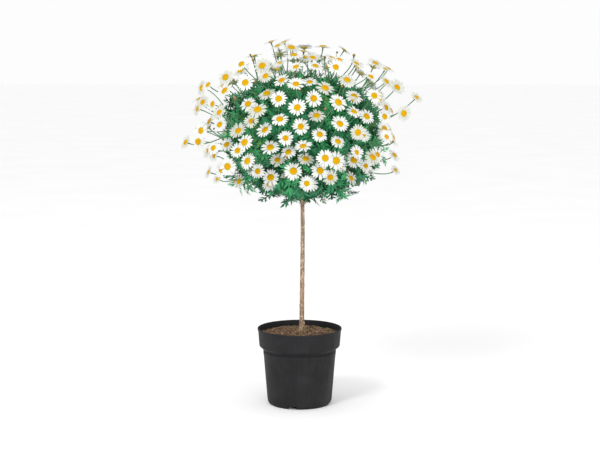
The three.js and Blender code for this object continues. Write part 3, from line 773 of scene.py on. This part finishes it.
def fibres(item, length, radius):
    """Fibres of coir and straw: thin bent tubes that lie on the heap."""
    middle = scattered(item, 88)
    ahead = heading(360 * chance(item, 37), 14 * spread(item, 38))
    half = (length * (0.35 + 0.65 * chance(item, 39)) / 2)[:, None]
    root, tip = middle - ahead * half, middle + ahead * half
    for end in (root, tip):
        end[:, 2] = heap_height(end[:, 0], end[:, 1]) + 0.2
    side = np.cross(ahead, UP) * half * 0.5 * spread(item, 40)[:, None]
    bend = middle + side + UP * (1.2 + 2.2 * chance(item, 41))[:, None]
    return tubes(*bend_through(root, bend, tip, 6), radius, 4)


# The trunk, boughs, limbs and shoots


def trunk_centre(along):
    """The trunk's axis: a cubic Bezier that starts upright at the foot and leans a little."""
    foot, tip = TRUNK["foot"], TRUNK["tip"]
    third = (tip - foot) / 3
    a = np.array([0, 0, foot])
    b = np.array([0, 0, foot + third])
    c = np.array([2.4 * TRUNK["bow"], -TRUNK["bow"], tip - third])
    d = np.array([0, 0, tip])
    t = np.asarray(along)[..., None]
    points = (1 - t) ** 3 * a + 3 * t * (1 - t) ** 2 * b + 3 * t**2 * (1 - t) * c + t**3 * d
    tangents = unit((1 - t) ** 2 * (b - a) + 2 * t * (1 - t) * (c - b) + t**2 * (d - c))
    return points, tangents


def leaf_scars(height, turn):
    """The low bosses that old leaves left, one each step up a golden spiral: each a bell shape."""
    numbers = np.arange(int((TRUNK["tip"] - TRUNK["foot"]) / BARK["scar_step"]))
    at_height = TRUNK["foot"] + 12 + BARK["scar_step"] * (numbers + 0.4 * spread(numbers, 51))
    off = (turn[..., None] - GOLDEN_ANGLE * numbers + np.pi) % (2 * np.pi) - np.pi
    rise = (height[..., None] - at_height) / np.where(height[..., None] < at_height, 3.4, 1.3)
    strength = 0.5 + chance(numbers, 52)
    return np.sum(strength * np.exp(-((off / 0.5) ** 2) - rise**2), axis=-1)


def trunk_surfaces():
    """The trunk: its radius thins from foot to tip, flares into root ridges at the foot, and has
    cracks along it, ripples and leaf scars as its relief."""
    length = TRUNK["tip"] - TRUNK["foot"]
    along = np.linspace(-TRUNK["sunk"] / length, 1, BARK["rings"])[:, None]
    turn = np.linspace(0, 2 * np.pi, BARK["columns"], endpoint=False)[None, :]
    centre, tangent = trunk_centre(along[:, 0])
    height = TRUNK["foot"] + along * length + 0 * turn
    plain = between(TRUNK["foot_radius"], TRUNK["tip_radius"], np.clip(along, 0, 1))
    flare = TRUNK["flare"] * np.exp(-np.maximum(along, -0.01) * length / TRUNK["flare_height"])
    twist = turn + 0.5 * lumps(height, 0 * height, 60, 53)
    ridged = 1 + 0.35 * np.cos(TRUNK["root_ridges"] * twist) * (1 + 0.3 * np.sin(turn))
    cracks = lumps(twist * 14, height * 0.35, 11, 56) + 0.6 * lumps(twist * 26, height * 0.6, 10, 59)
    ripple = lumps(height, 6 * np.sin(turn), 24, 62)
    relief = -BARK["fissure"] * np.abs(cracks) + BARK["ripple"] * ripple
    radius = plain + flare * ridged + (relief + BARK["scar"] * leaf_scars(height, turn))
    across = unit(np.cross(np.array([0.0, 1.0, 0.0]), tangent))
    upward = np.cross(tangent, across)
    ring = turned(across[:, None], upward[:, None], turn[..., None])
    points = centre[:, None] + ring * radius[..., None]
    points[-1] = centre[-1]
    return weld(points.reshape(-1, 3), grid_faces(*radius.shape))


def bough_surfaces():
    """The boughs: tubes from the trunk's axis, bent to arrive along their space's axis at its start.
    They swell where they leave the trunk, and have knuckles along them."""
    carried = RING_OF < 2
    count, first, rise = (of_ring(key)[carried] for key in ("count", "first", "rise"))
    rank = (PLACE_OF[carried] * BOUGH["neighbour_step"]) % count
    root = trunk_centre((first + rank * rise - TRUNK["foot"]) / (TRUNK["tip"] - TRUNK["foot"]))[0]
    tip = AXES[carried] * STARTS[carried, None]
    bend = bend_before(tip, root, AXES[carried], 0.5)
    along = np.linspace(0, 1, BOUGH["steps"])[None, :]
    number = np.arange(len(tip))[:, None]
    thin = between(BOUGH["root_radius"], BOUGH["tip_radius"], along)
    collar = BOUGH["collar"] * np.exp(-along * 7)
    knuckle = BOUGH["knuckle"] * np.sin(along * (34 + 9 * chance(number, 65)) + 6 * chance(number, 66))
    return tubes(*bend_through(root, bend, tip, BOUGH["steps"]), thin + collar + knuckle, 12)


def limb_curves():
    """The limbs inside each space: its stem carried on along the axis, and the limbs that fork from
    the stem and fan out to fill the space. Each ends at a share of the leafy outline."""
    space = np.repeat(np.arange(len(AXES)), LIMB["per_space"])
    item = np.arange(len(space))
    fan = item % LIMB["per_space"]
    axis = AXES[space]
    side = unit(np.cross(axis, not_along(axis)))
    turn = (2 * np.pi * fan / (LIMB["per_space"] - 1) + 2 * chance(space, 71))[:, None]
    lean = np.where(fan == 0, 0, varied(item, 72, *LIMB["lean"]))[:, None]
    ahead = unit(axis + lean * turned(side, np.cross(axis, side), turn))
    fork = np.where(fan == 0, 0, at_least(item, 73, *LIMB["fork"]))
    root = axis * (STARTS[space] * (1 + fork))[:, None]
    seen = unit(ahead * LIMB["span"] - LEAFY["middle"] * UP + LIMB["rise"] * UP)
    target = on_outline(LEAFY, seen, varied(item, 74, *LIMB["reach"]))
    bend = root + axis * LIMB["pull"] * lengths(target - root)
    return bend_through(root, bend, keep_in(target, space, LIMB["room"]), LIMB["steps"])


def skirt_rows():
    """The shoots that hang round the fork: item, the directions they grow in, and their tips."""
    item = SKIRT["first"] + np.arange(SKIRT["count"])
    turn = SKIRT["turn"] + 360 * np.arange(SKIRT["count"]) / SKIRT["count"] + 8 * spread(item, 83)
    level = heading(turn, 0)
    tip = level * varied(item, 11, *SKIRT["radius"])[:, None]
    tip[:, 2] = varied(item, 12, *SKIRT["height"])
    return item, unit(level - 0.5 * UP), tip


def shoot_rows(limb_points):
    """The leafy shoots: for each its item, root, bend and tip. Tips lie evenly over the leafy
    outline, some deeper inside, and round the fork. A shoot's root is the nearest place on a limb
    that lies further in than its tip."""
    item = np.arange(SHOOT["outer"] + SHOOT["inner"])
    direction = even_heading(item + 0.37, SHOOT["lowest"], SHOOT["crowding"])
    inner, outer = (at_least(item, 81, *SHOOT[key]) for key in ("inner_reach", "outer_reach"))
    tip = on_outline(LEAFY, direction, np.where(item >= SHOOT["outer"], inner, outer))
    tip[:, 2] -= SHOOT["hang"] * chance(item, 82) * (1 - np.maximum(direction[:, 2], 0))
    item, direction, tip = (np.concatenate(both) for both in zip((item, direction, tip), skirt_rows()))
    lift = SHOOT["lift"] * np.where(item < SKIRT["first"], np.clip(0.55 + direction[:, 2], 0.1, 1), 0)
    growth = unit(direction + lift[:, None] * UP + SHOOT["wander"] * stray(item, 84))
    root = nearest(tip - growth * SHOOT["length"], limb_points.reshape(-1, 3))
    return item, root, bend_before(tip, root, growth, SHOOT["pull"]), tip


# The leaves


def leaf_shape(bend, cup, lobes):
    """One feathery leaf of length 1 along x: a narrow midrib with long cut lobes on both sides.
    It rises and then droops: z = 0.1 sin(pi x) - bend x^2 + cup |y| - 0.5 y^2."""
    rib_at = [0.0, 0.22] + [start for start, _ in lobes] + [0.86]
    half = [0.018, 0.022] + [0.034] * len(lobes) + [0.028]
    rows = len(rib_at)
    points = [(x, side * width) for side in (1, -1) for x, width in zip(rib_at, half)]
    faces = [[i, i + rows, i + rows + 1] for i in range(rows - 1)]
    faces += [[i, i + rows + 1, i + 1] for i in range(rows - 1)]
    for number, (start, length) in enumerate(lobes):
        lean = 0.9 - 0.45 * number / len(lobes)
        for side in (1, -1):
            base = len(points)
            forward = np.array([math.cos(lean), side * math.sin(lean)])
            across = np.array([-math.sin(lean), side * math.cos(lean)])
            foot = np.array([start, side * 0.012])
            points += [tuple(foot + forward * along * length + across * out) for along, out in LOBE]
            faces += [[base + i for i in (face if side > 0 else face[::-1])] for face in LOBE_FACES]
    faces += [[len(points) + i for i in face] for face in END_LOBE_FACES]
    flat = np.array(points + END_LOBE)
    x, y = flat[:, 0], flat[:, 1]
    z = 0.1 * np.sin(np.pi * x) - bend * x**2 + cup * np.abs(y) - 0.5 * np.abs(y) ** 2
    return np.column_stack([x, y, z]), np.array(faces)


def leaf_rows(item, root, bend, tip):
    """The leaves' places, frames, lengths, shoots, items and youth: a golden spiral up each shoot's
    outer part. Old leaves are long and stand wide open, and young ones at the tip are short and close."""
    count = SHOOT["leaves"]
    steps = 40
    centres, tangents = bend_through(root, bend, tip, steps + 1)
    grade = np.linspace(0, 1, count)
    step = np.round(between(SHOOT["first_leaf"], 1, grade) * steps).astype(int)
    place, stem = centres[:, step], tangents[:, step]
    leaf = item[:, None] * 40 + np.arange(count)[None, :]
    side = unit(np.cross(stem, not_along(stem)))
    turn = GOLDEN_ANGLE * np.arange(count) + (2 * np.pi * chance(item, 91))[:, None]
    turn = (turn + 0.3 * spread(leaf, 92))[..., None]
    outward = turned(side, np.cross(stem, side), turn)
    opening = between(LEAF["open"], LEAF["closed"], grade**1.4) + LEAF["open_spread"] * spread(leaf, 93)
    opening = np.radians(opening)[..., None]
    along = unit(turned(stem, outward, opening) - LEAF["droop"] * UP)
    over = unit(stem - along * np.sum(stem * along, axis=-1, keepdims=True))
    roll = np.radians(LEAF["roll"] * spread(leaf, 97))[..., None]
    frames = frames_facing(turned(over, np.cross(along, over), roll), along)
    length = LEAF["length"] * between(1, LEAF["young"], grade**1.7)
    length = length * (1 + LEAF["length_spread"] * spread(leaf, 94))
    shoot = np.repeat(np.arange(len(item)), count)
    young = np.tile(grade, len(item))
    return place.reshape(-1, 3), frames.reshape(-1, 3, 3), length.ravel(), shoot, leaf.ravel(), young


def leaves_kept(item, leaves, flowers):
    """Which leaves stay, and how far each looks down: those that end inside the leafy outline, some
    of them further out and fewer underneath, and all of the skirt's. None hides a flower."""
    at, frames, length, shoot, leaf, _ = leaves
    ends = at + frames[:, 0] * length[:, None]
    under = np.clip(-unit(ends - LEAFY["middle"] * UP)[:, 2], 0, 1)
    ragged = (chance(item, 99) < RAGGED["share"])[shoot]
    edge = varied(leaf, 98, *LEAF["edge"]) + RAGGED["further"] * ragged
    edge -= RAGGED["bare_under"] * under
    kept = (share_of(LEAFY, ends) < edge) | (item[shoot] >= SKIRT["first"])
    return kept & ~in_view(ends, flowers) & ~in_view((at + ends) / 2, flowers), under


def tint_numbers(item, shoot, young, under):
    """The number of each leaf's tint. A spray's old leaves are darker than its young ones, and all are
    given darker tints underneath and deep in the crown, as painted shade."""
    deal = TINTING["spray"] * chance(item, 95)[shoot] + TINTING["young"] * young + TINTING["least"]
    # Painted shade: darker tints for leaves that look down.
    deal -= TINTING["under"] * under
    # Painted shade: darker tints on the inner shoots, deep in the crown.
    inner = ((item >= SHOOT["outer"]) & (item < SKIRT["first"]))[shoot]
    deal = np.clip(np.where(inner, deal * TINTING["inner"], deal), 0, 0.999)
    return np.searchsorted(np.cumsum([share for _, _, share in LEAF_TINTS]), deal)


# The flowers


def flower_heading(item):
    """Even headings, drawn round to the sunny side by a - k sin a from -Y, and moved a little."""
    even = even_heading(item, FLOWER["lowest"], FLOWER["crowding"])
    flat = np.hypot(even[:, 0], even[:, 1])
    turn = np.arctan2(even[:, 0], -even[:, 1])
    turn = turn - FLOWER["sun_side"] * np.sin(turn)
    drawn = np.stack([flat * np.sin(turn), -flat * np.cos(turn), even[:, 2]], axis=-1)
    return unit(drawn + FLOWER["stray"] * stray(item, 21))


def keep_apart(direction, gap):
    """Headings that lie nearer each other than a gap move apart, a little in each of 20 rounds."""
    for _ in range(20):
        away = direction[:, None] - direction[None]
        push = np.clip(gap / np.maximum(lengths(away), 1e-6) - 1, 0, 1)
        direction = unit(direction + 0.3 * np.sum(away * push, axis=1))
    return direction


def in_view(points, flowers):
    """Whether points hide a flower: they lie within its radius of its axis, and in front of it."""
    _, at, front, radius = flowers
    away = points[:, None] - at[None]
    ahead = np.sum(away * front[None], axis=-1)
    aside = lengths(away - ahead[..., None] * front[None], False)
    return ((ahead > -1) & (ahead < FLOWER["view"]) & (aside < radius)).any(axis=1)


def not_bare(item, direction):
    """Which of the flowers or buds are kept: fewer on top, underneath and at the sides."""
    bare = np.zeros(len(item))
    ways = {"top": direction[:, 2], "bottom": -direction[:, 2], "sides": np.abs(direction[:, 0])}
    for way, (share, start, over) in BARE.items():
        bare += share * np.clip((ways[way] - start) / over, 0, 1)
    return chance(item, 24) > bare


def spare_flowers(taken):
    """More flowers for the side that faces away from the sun: one by one, each in the widest gap."""
    item = SPARE["first"] + np.arange(SPARE["count"])
    places = even_heading(np.arange(SPARE["tried"]), FLOWER["lowest"], FLOWER["crowding"])
    behind = (places[:, 1] > SPARE["behind"]) & (np.abs(places[:, 0]) < SPARE["aside"])
    places = places[behind & (np.abs(places[:, 2] - SPARE["height"]) < SPARE["height_spread"])]
    for _ in item:
        gap = lengths(places[:, None] - taken[None], False).min(axis=1)
        taken = np.concatenate([taken, places[[np.argmax(gap)]]])
    return item, taken[-len(item) :]


def flower_rows():
    """The flowers: item, middle of the flat underside, facing, and radius, as in the solids, but more
    in number."""
    item = np.arange(FLOWER["count"])
    direction = flower_heading(item)
    kept = not_bare(item, direction)
    item, direction = item[kept], keep_apart(direction[kept], FLOWER["apart"])
    item, direction = (np.concatenate(both) for both in zip((item, direction), spare_flowers(direction)))
    reach = between(FLOWER["furthest"], FLOWER["deepest"], chance(item, 2) ** 1.3)
    size = 1 + FLOWER["radius_spread"] * spread(item, 3)
    item = np.concatenate([STRAYS["first"] + np.arange(len(STRAYS["size"])), item])
    direction = np.concatenate([heading(STRAYS["azimuth"], STRAYS["elevation"]), direction])
    at = on_outline(FLOWERY, direction, np.concatenate([STRAYS["reach"], reach]))
    radius = FLOWER["radius"] * np.concatenate([STRAYS["size"], size])
    return item, at, flower_facing(direction, item), radius


def flower_facing(direction, item):
    """Out and up, or for flowers in front, the more by chance, to the sunny side, which is -Y. Those
    at the sides turn there too, by at least a share of the way."""
    sunny = np.clip(FACING["sun_ends"] - direction[:, 1], 0, 1)
    held = 1 - FACING["top_freedom"] * np.maximum(direction[:, 2], 0)
    side = np.abs(direction[:, 0])
    swing = chance(item, 8) ** 2 * (3 - 2 * chance(item, 8))
    swing = np.maximum(swing, FACING["side_turn"] * side * (direction[:, 1] < FACING["sides_end"]))
    front = direction.copy()
    front[:, 2] = np.maximum(front[:, 2], 0) + between(FACING["most_lift"], FACING["least_lift"], swing)
    front[:, 1] -= FACING["pull"] * swing * sunny * held
    front[:, 0] *= 1 + FACING["fan"] * (1 - swing) * (1 - side)
    return unit(front + FACING["nod"] * stray(item, 5) * (1, 0.5, 1))


def bud_rows(kind, flowers):
    """Buds or half-open flowers: places between the flowers, on the same outline, a little in.
    None stands in front of an open flower."""
    item = kind["first"] + np.arange(kind["count"])
    direction = even_heading(item + 0.71, kind["lowest"], kind["crowding"])
    kept = not_bare(item, direction)
    item, direction = item[kept], direction[kept]
    at = on_outline(FLOWERY, direction, between(kind["deepest"], kind["furthest"], chance(item, 2)))
    front = unit(flower_facing(direction, item) + 0.5 * UP)
    clear = ~in_view(at, flowers)
    return item[clear], at[clear], front[clear]


def stalk_curves(at, front, shoot_points, flowers):
    """Stalks: from the shoot that lies nearest under the flower, bent to arrive along its facing. One
    that would cross an open flower starts elsewhere, by chance, and is tried again a few times."""
    item = np.arange(len(at))
    strayed = np.zeros_like(at)
    crossing = np.ones(len(at), bool)
    for attempt in range(STALK["tries"]):
        strayed = np.where(crossing[:, None], stray(item, 111 + 3 * attempt), strayed)
        inward = at - unit(at - STALK["middle"] * UP) * STALK["depth"] + STALK["wander"] * strayed
        root = nearest(inward, shoot_points)
        bend = bend_before(at, root, front, STALK["arch"])
        centres, tangents = bend_through(root, bend, at, STALK["steps"])
        lower = centres[:, :-2].reshape(-1, 3)
        crossing = in_view(lower, flowers).reshape(len(at), -1).any(axis=1)
    return centres, tangents


def petal_shape():
    """One petal of a flower of radius 1, along x: a tongue, narrow at its root and blunt at its
    tip, with two grooves: z = arch(x) + ridge cos(2 pi y / width) - curl y^2."""
    x, half = np.transpose(PETAL)[..., None]
    across = np.array([-1, -0.5, 0, 0.5, 1])
    grow = (x - x[0]) / (x[-1] - x[0])
    arch = 0.035 * np.sin(np.pi * grow) - 0.05 * grow**2
    ridge = 0.011 * np.cos(2 * np.pi * across) * np.sin(np.pi * (0.12 + 0.8 * grow))
    curl = -0.02 * across**2
    points = np.stack([x - 0.02 * across**2 * grow**3, half * across, arch + ridge + curl], axis=-1)
    return points.reshape(-1, 3), grid_faces(len(x), len(across), around=False)


def petal_surface(item, at, front, radius, pitch):
    """The petals, evenly round each flower with a little chance: each is pitched forward by its
    flower's pitch in degrees."""
    number = np.arange(FLOWER["petals"])
    frames = frames_facing(front, not_along(front))
    petal = item[:, None] * 50 + number
    turn = 2 * np.pi * (number + 0.24 * spread(petal, 101)) / FLOWER["petals"]
    turn = (turn + (2 * np.pi * chance(item, 4))[:, None])[..., None]
    x, y, z = (frames[:, None, k, :] for k in range(3))
    out = turned(x, y, turn)
    lift = np.radians(pitch[:, None] + 5 * spread(petal, 102) + 3 * (number % 2))[..., None]
    along, upward = turned(out, z, lift), turned(z, -out, lift)
    frames = np.stack([along, np.cross(upward, along), upward], axis=-2).reshape(-1, 3, 3)
    origin = (at + front * FLOWER["plane"])[:, None, :] + 0 * out
    size = radius[:, None] * (1 + 0.08 * spread(petal, 103))
    return copies_of(*petal_shape(), origin.reshape(-1, 3), frames, size.ravel())


def round_surface(profile, sides, at, front, sizes):
    """Copies of a small lathed form that each face a direction, its axis along it."""
    angles = np.linspace(0, 2 * np.pi, sides, endpoint=False)
    points, faces = lathed(np.array(profile, float), angles)
    return copies_of(points, faces, at, frames_facing(front, not_along(front)), sizes)


# The studio


def aim(thing, target):
    """Turns a lamp or camera so that it looks at a point."""
    thing.rotation_euler = (Vector(target) - thing.location).to_track_quat("-Z", "Y").to_euler()


def soft_light(name, place, target, width, power):
    """A soft box, one metre high."""
    lamp = bpy.data.lights.new(name, "AREA")
    lamp.shape = "RECTANGLE"
    lamp.size = width
    lamp.size_y = 1.0
    lamp.energy = power
    box = bpy.data.objects.new(name, lamp)
    box.location = place
    aim(box, target)
    bpy.context.scene.collection.objects.link(box)


def studio():
    """Camera, lights, pale surroundings and floor."""
    scene = bpy.context.scene
    lens = bpy.data.cameras.new("camera")
    lens.lens = CAMERA["lens"]
    lens.sensor_width = 36
    lens.clip_end = 100
    camera = bpy.data.objects.new("camera", lens)
    camera.location = CAMERA["place"]
    aim(camera, CAMERA["target"])
    scene.collection.objects.link(camera)
    scene.camera = camera

    scene.view_settings.view_transform = "Standard"
    world = bpy.data.worlds.new("studio walls")
    world.use_nodes = True
    walls = world.node_tree.nodes["Background"]
    walls.inputs["Color"].default_value = linear("#fdfdfd")
    walls.inputs["Strength"].default_value = 1.0
    scene.world = world
    for box in SOFTBOXES:
        soft_light(**box)

    floor_mesh = bpy.data.meshes.new("floor")
    corners = [(x * FLOOR_HALF, y * FLOOR_HALF, 0) for x, y in ((-1, -1), (1, -1), (1, 1), (-1, 1))]
    floor_mesh.from_pydata(corners, [], [(0, 1, 2, 3)])
    floor_mesh.materials.append(studio_floor())
    floor = bpy.data.objects.new("floor", floor_mesh)
    scene.collection.objects.link(floor)


# The pieces


def make_compost(name, surfaces, material, **look):
    """A piece of the compost, which is drawn from the pot's middle."""
    make_piece(name, surfaces, material, "compost", ["compost"], origin=POT_MIDDLE, **look)


def make_foliage(name, surfaces, material, **look):
    """A piece of the crown, which stands for all its masses."""
    make_piece(name, surfaces, material, "foliage", MASSES, **look)


def build_pot():
    """The pot, one closed piece."""
    look = {"origin": POT_MIDDLE, "crease": 38, "closed": True}
    make_piece("pot_shell", pot_surfaces(), pot_plastic(), "pot", ["pot"], **look)


def build_compost():
    """The heap, and the crumbs, chips, moss and fibres on it."""
    mix = peat("potting compost, peat and bark", ("#32261c", "#594635", "#856e54"), 4.5)
    make_compost("compost_heap", compost_surfaces(), mix, closed=True)
    for name, real, first, count, size, tints in CRUMBS_AND_CHIPS:
        item = first + np.arange(count)
        make_compost(name, [chips(item, scattered(item, 89), *size)], peat(real, tints, 2.2), smooth=False)
    item = MOSS["first"] + np.arange(MOSS["count"])
    moss = soft_green("moss and seedlings", "#6f9440", 0.8, 0.8, 0.0004)
    surface = chips(item, moss_places(item), *MOSS["size"], tilt=MOSS["tilt"])
    make_compost("compost_moss", [surface], moss, smooth=False)
    item = FIBRES["first"] + np.arange(FIBRES["count"])
    straw = peat("coir and straw fibre", ("#7a6450", "#9d866b", "#bfab8e"), 2.0)
    make_compost("compost_fibres", fibres(item, FIBRES["length"], FIBRES["radius"]), straw)


def build_wood():
    """The trunk and the boughs, with the bark's relief."""
    wood = bark()
    make_piece("trunk_bark", trunk_surfaces(), wood, "bark", ["trunk"])
    make_piece("bough_bark", bough_surfaces(), wood, "bark", BOUGHS)


def build_crown():
    """The limbs and shoots, the leaves on them, and the flowers between."""
    limb_points, limb_tangents = limb_curves()
    item, root, bend, tip = shoot_rows(limb_points[:, LIMB["bare_steps"] :])
    shoot_points, shoot_tangents = bend_through(root, bend, tip, SHOOT["steps"])
    limb_thin, shoot_thin = (
        np.linspace(kind["root_radius"], kind["tip_radius"], kind["steps"]) for kind in (LIMB, SHOOT)
    )
    limbs = tubes(limb_points, limb_tangents, limb_thin, 8)
    shoots = tubes(shoot_points, shoot_tangents, shoot_thin, 6)
    wood = soft_green("young marguerite wood", "#5d6b3c", 0.7, 1.2, 0.0004)
    make_foliage("twigs", limbs + shoots, wood)
    flowers = flower_rows()
    build_leaves(item, leaf_rows(item, root, bend, tip), flowers)
    build_flowers(flowers, shoot_points[:, SHOOT["stalks_from"] :].reshape(-1, 3))


def build_leaves(item, leaves, flowers):
    """The leaves, in three shapes, with one piece for each tint."""
    kept, under = leaves_kept(item, leaves, flowers)
    at, frames, length, shoot, leaf, young = (rows[kept] for rows in leaves)
    tint_of = tint_numbers(item, shoot, young, under[kept])
    shapes = [
        leaf_shape(0.28, 0.15, LEAF_LOBES),
        leaf_shape(0.12, 0.3, [(start + 0.03, reach * 0.9) for start, reach in LEAF_LOBES]),
        leaf_shape(0.42, 0.05, [(start - 0.02, reach * 1.08) for start, reach in LEAF_LOBES]),
    ]
    kind_of = (chance(leaf, 96) * len(shapes)).astype(int)
    for number, (tint, colour, _) in enumerate(LEAF_TINTS):
        surfaces = []
        for kind, shape in enumerate(shapes):
            chosen = (tint_of == number) & (kind_of == kind)
            surfaces.append(copies_of(*shape, at[chosen], frames[chosen], length[chosen]))
        material = soft_green(f"marguerite leaf, {tint}", colour, 0.58, 1.6, 0.0003, sheen=0.06)
        make_foliage("leaf_" + tint.replace(" ", "_"), surfaces, material, smooth=False)


def build_flowers(flowers, shoot_points):
    """The open flowers, the half-open ones and the buds, all on their stalks."""
    young = bud_rows(HALF_OPEN, flowers)
    young = (*young, FLOWER["radius"] * at_least(young[0], 105, *HALF_OPEN["size"]))
    build_petals(flowers, young)
    at, front, radius = (np.concatenate(both) for both in zip(flowers[1:], young[1:]))
    build_heads(at, front, radius)
    buds = bud_rows(BUDS, flowers)
    build_buds(*buds)
    at, front = np.concatenate([at, buds[1]]), np.concatenate([front, buds[2]])
    build_stalks(at, front, shoot_points, flowers)


def build_petals(flowers, young):
    """The petals in two tints: white, and a darker creamy tint that is partly the cream of old petals and
    partly painted shade. The flowers that face the sunny side, towards the lamps, are the whitest. Most of
    the others get the creamy tint as painted shade, and so do half-open flowers and those that stand
    furthest out."""
    item, _, front, _ = flowers
    # Painted shade: flowers that face away from the light get the darker creamy tint more often.
    creamy_and_shaded = chance(item, 108) < np.clip(front[:, 1] + 1, FLOWER["least_creamy_and_shaded"], FLOWER["most_creamy_and_shaded"])
    creamy_and_shaded |= item >= STRAYS["first"]
    pitched = (*flowers, varied(item, 104, *FLOWER["pitch"]))
    fresh, old = (petal_surface(*(rows[chosen] for rows in pitched)) for chosen in (~creamy_and_shaded, creamy_and_shaded))
    opening = petal_surface(*young, varied(young[0], 106, *HALF_OPEN["pitch"]))
    white = petal_tissue("marguerite ray petal, silky white", "#c0c1bf")
    # The creamy tint is darker than the white: partly the cream of old petals, partly painted shade.
    cream_and_shade = petal_tissue("marguerite ray petal, creamy, with painted shade", "#abaca1")
    make_foliage("petals", [fresh], white)
    make_foliage("petals_cream_and_shade", [old, opening], cream_and_shade)


def make_rounds(parts, at, front, sizes):
    """Pieces of small lathed forms: one for each name, profile, number of sides and material."""
    for name, profile, sides, material in parts:
        make_foliage(name, [round_surface(profile, sides, at, front, sizes)], material)


def build_heads(at, front, radius):
    """The flowers' discs, in two yellows, and the green cups under them."""
    plane = at + front * (FLOWER["plane"] * radius / FLOWER["radius"])[:, None]
    heads = [
        ("disc_rims", DISC_RIM, 18, disc_florets("open disc florets, golden yellow", "#bd9d00")),
        ("disc_middles", DISC_MIDDLE, 18, disc_florets("closed disc florets, orange yellow", "#cf8d08")),
        ("flower_cups", CUP, 12, soft_green("flower cup bracts", "#a9a66b", 0.65, 1.1, 0.0005)),
    ]
    make_rounds(heads, plane, front, radius)


def build_buds(item, at, front):
    """The buds: brown green scales with an orange brown tip."""
    size = at_least(item, 107, *BUDS["radius"])
    buds = [
        ("bud_scales", BUD_SCALES, 12, soft_green("bud scales, brown green", "#7d6a40", 0.7, 1.0, 0.0005)),
        ("bud_tips", BUD_TIP, 12, soft_green("bud tips, orange brown", "#b37e42", 0.6, 1.0, 0.0003)),
    ]
    make_rounds(buds, at + front * (0.9 * size)[:, None], front, size)


def build_stalks(at, front, shoot_points, flowers):
    """The stalks, which thin as they rise and swell at the neck, right under the flower."""
    centres, tangents = stalk_curves(at, front, shoot_points, flowers)
    along = np.linspace(0, 1, STALK["steps"])
    thick = between(STALK["root_radius"], STALK["tip_radius"], along) + STALK["neck"] * along**14
    green = soft_green("flower stalk, grey green", "#4f8159", 0.6, 1.2, 0.0003)
    make_foliage("stalks", tubes(centres, tangents, thick, 6), green)


studio()
build_pot()
build_compost()
build_wood()
build_crown()
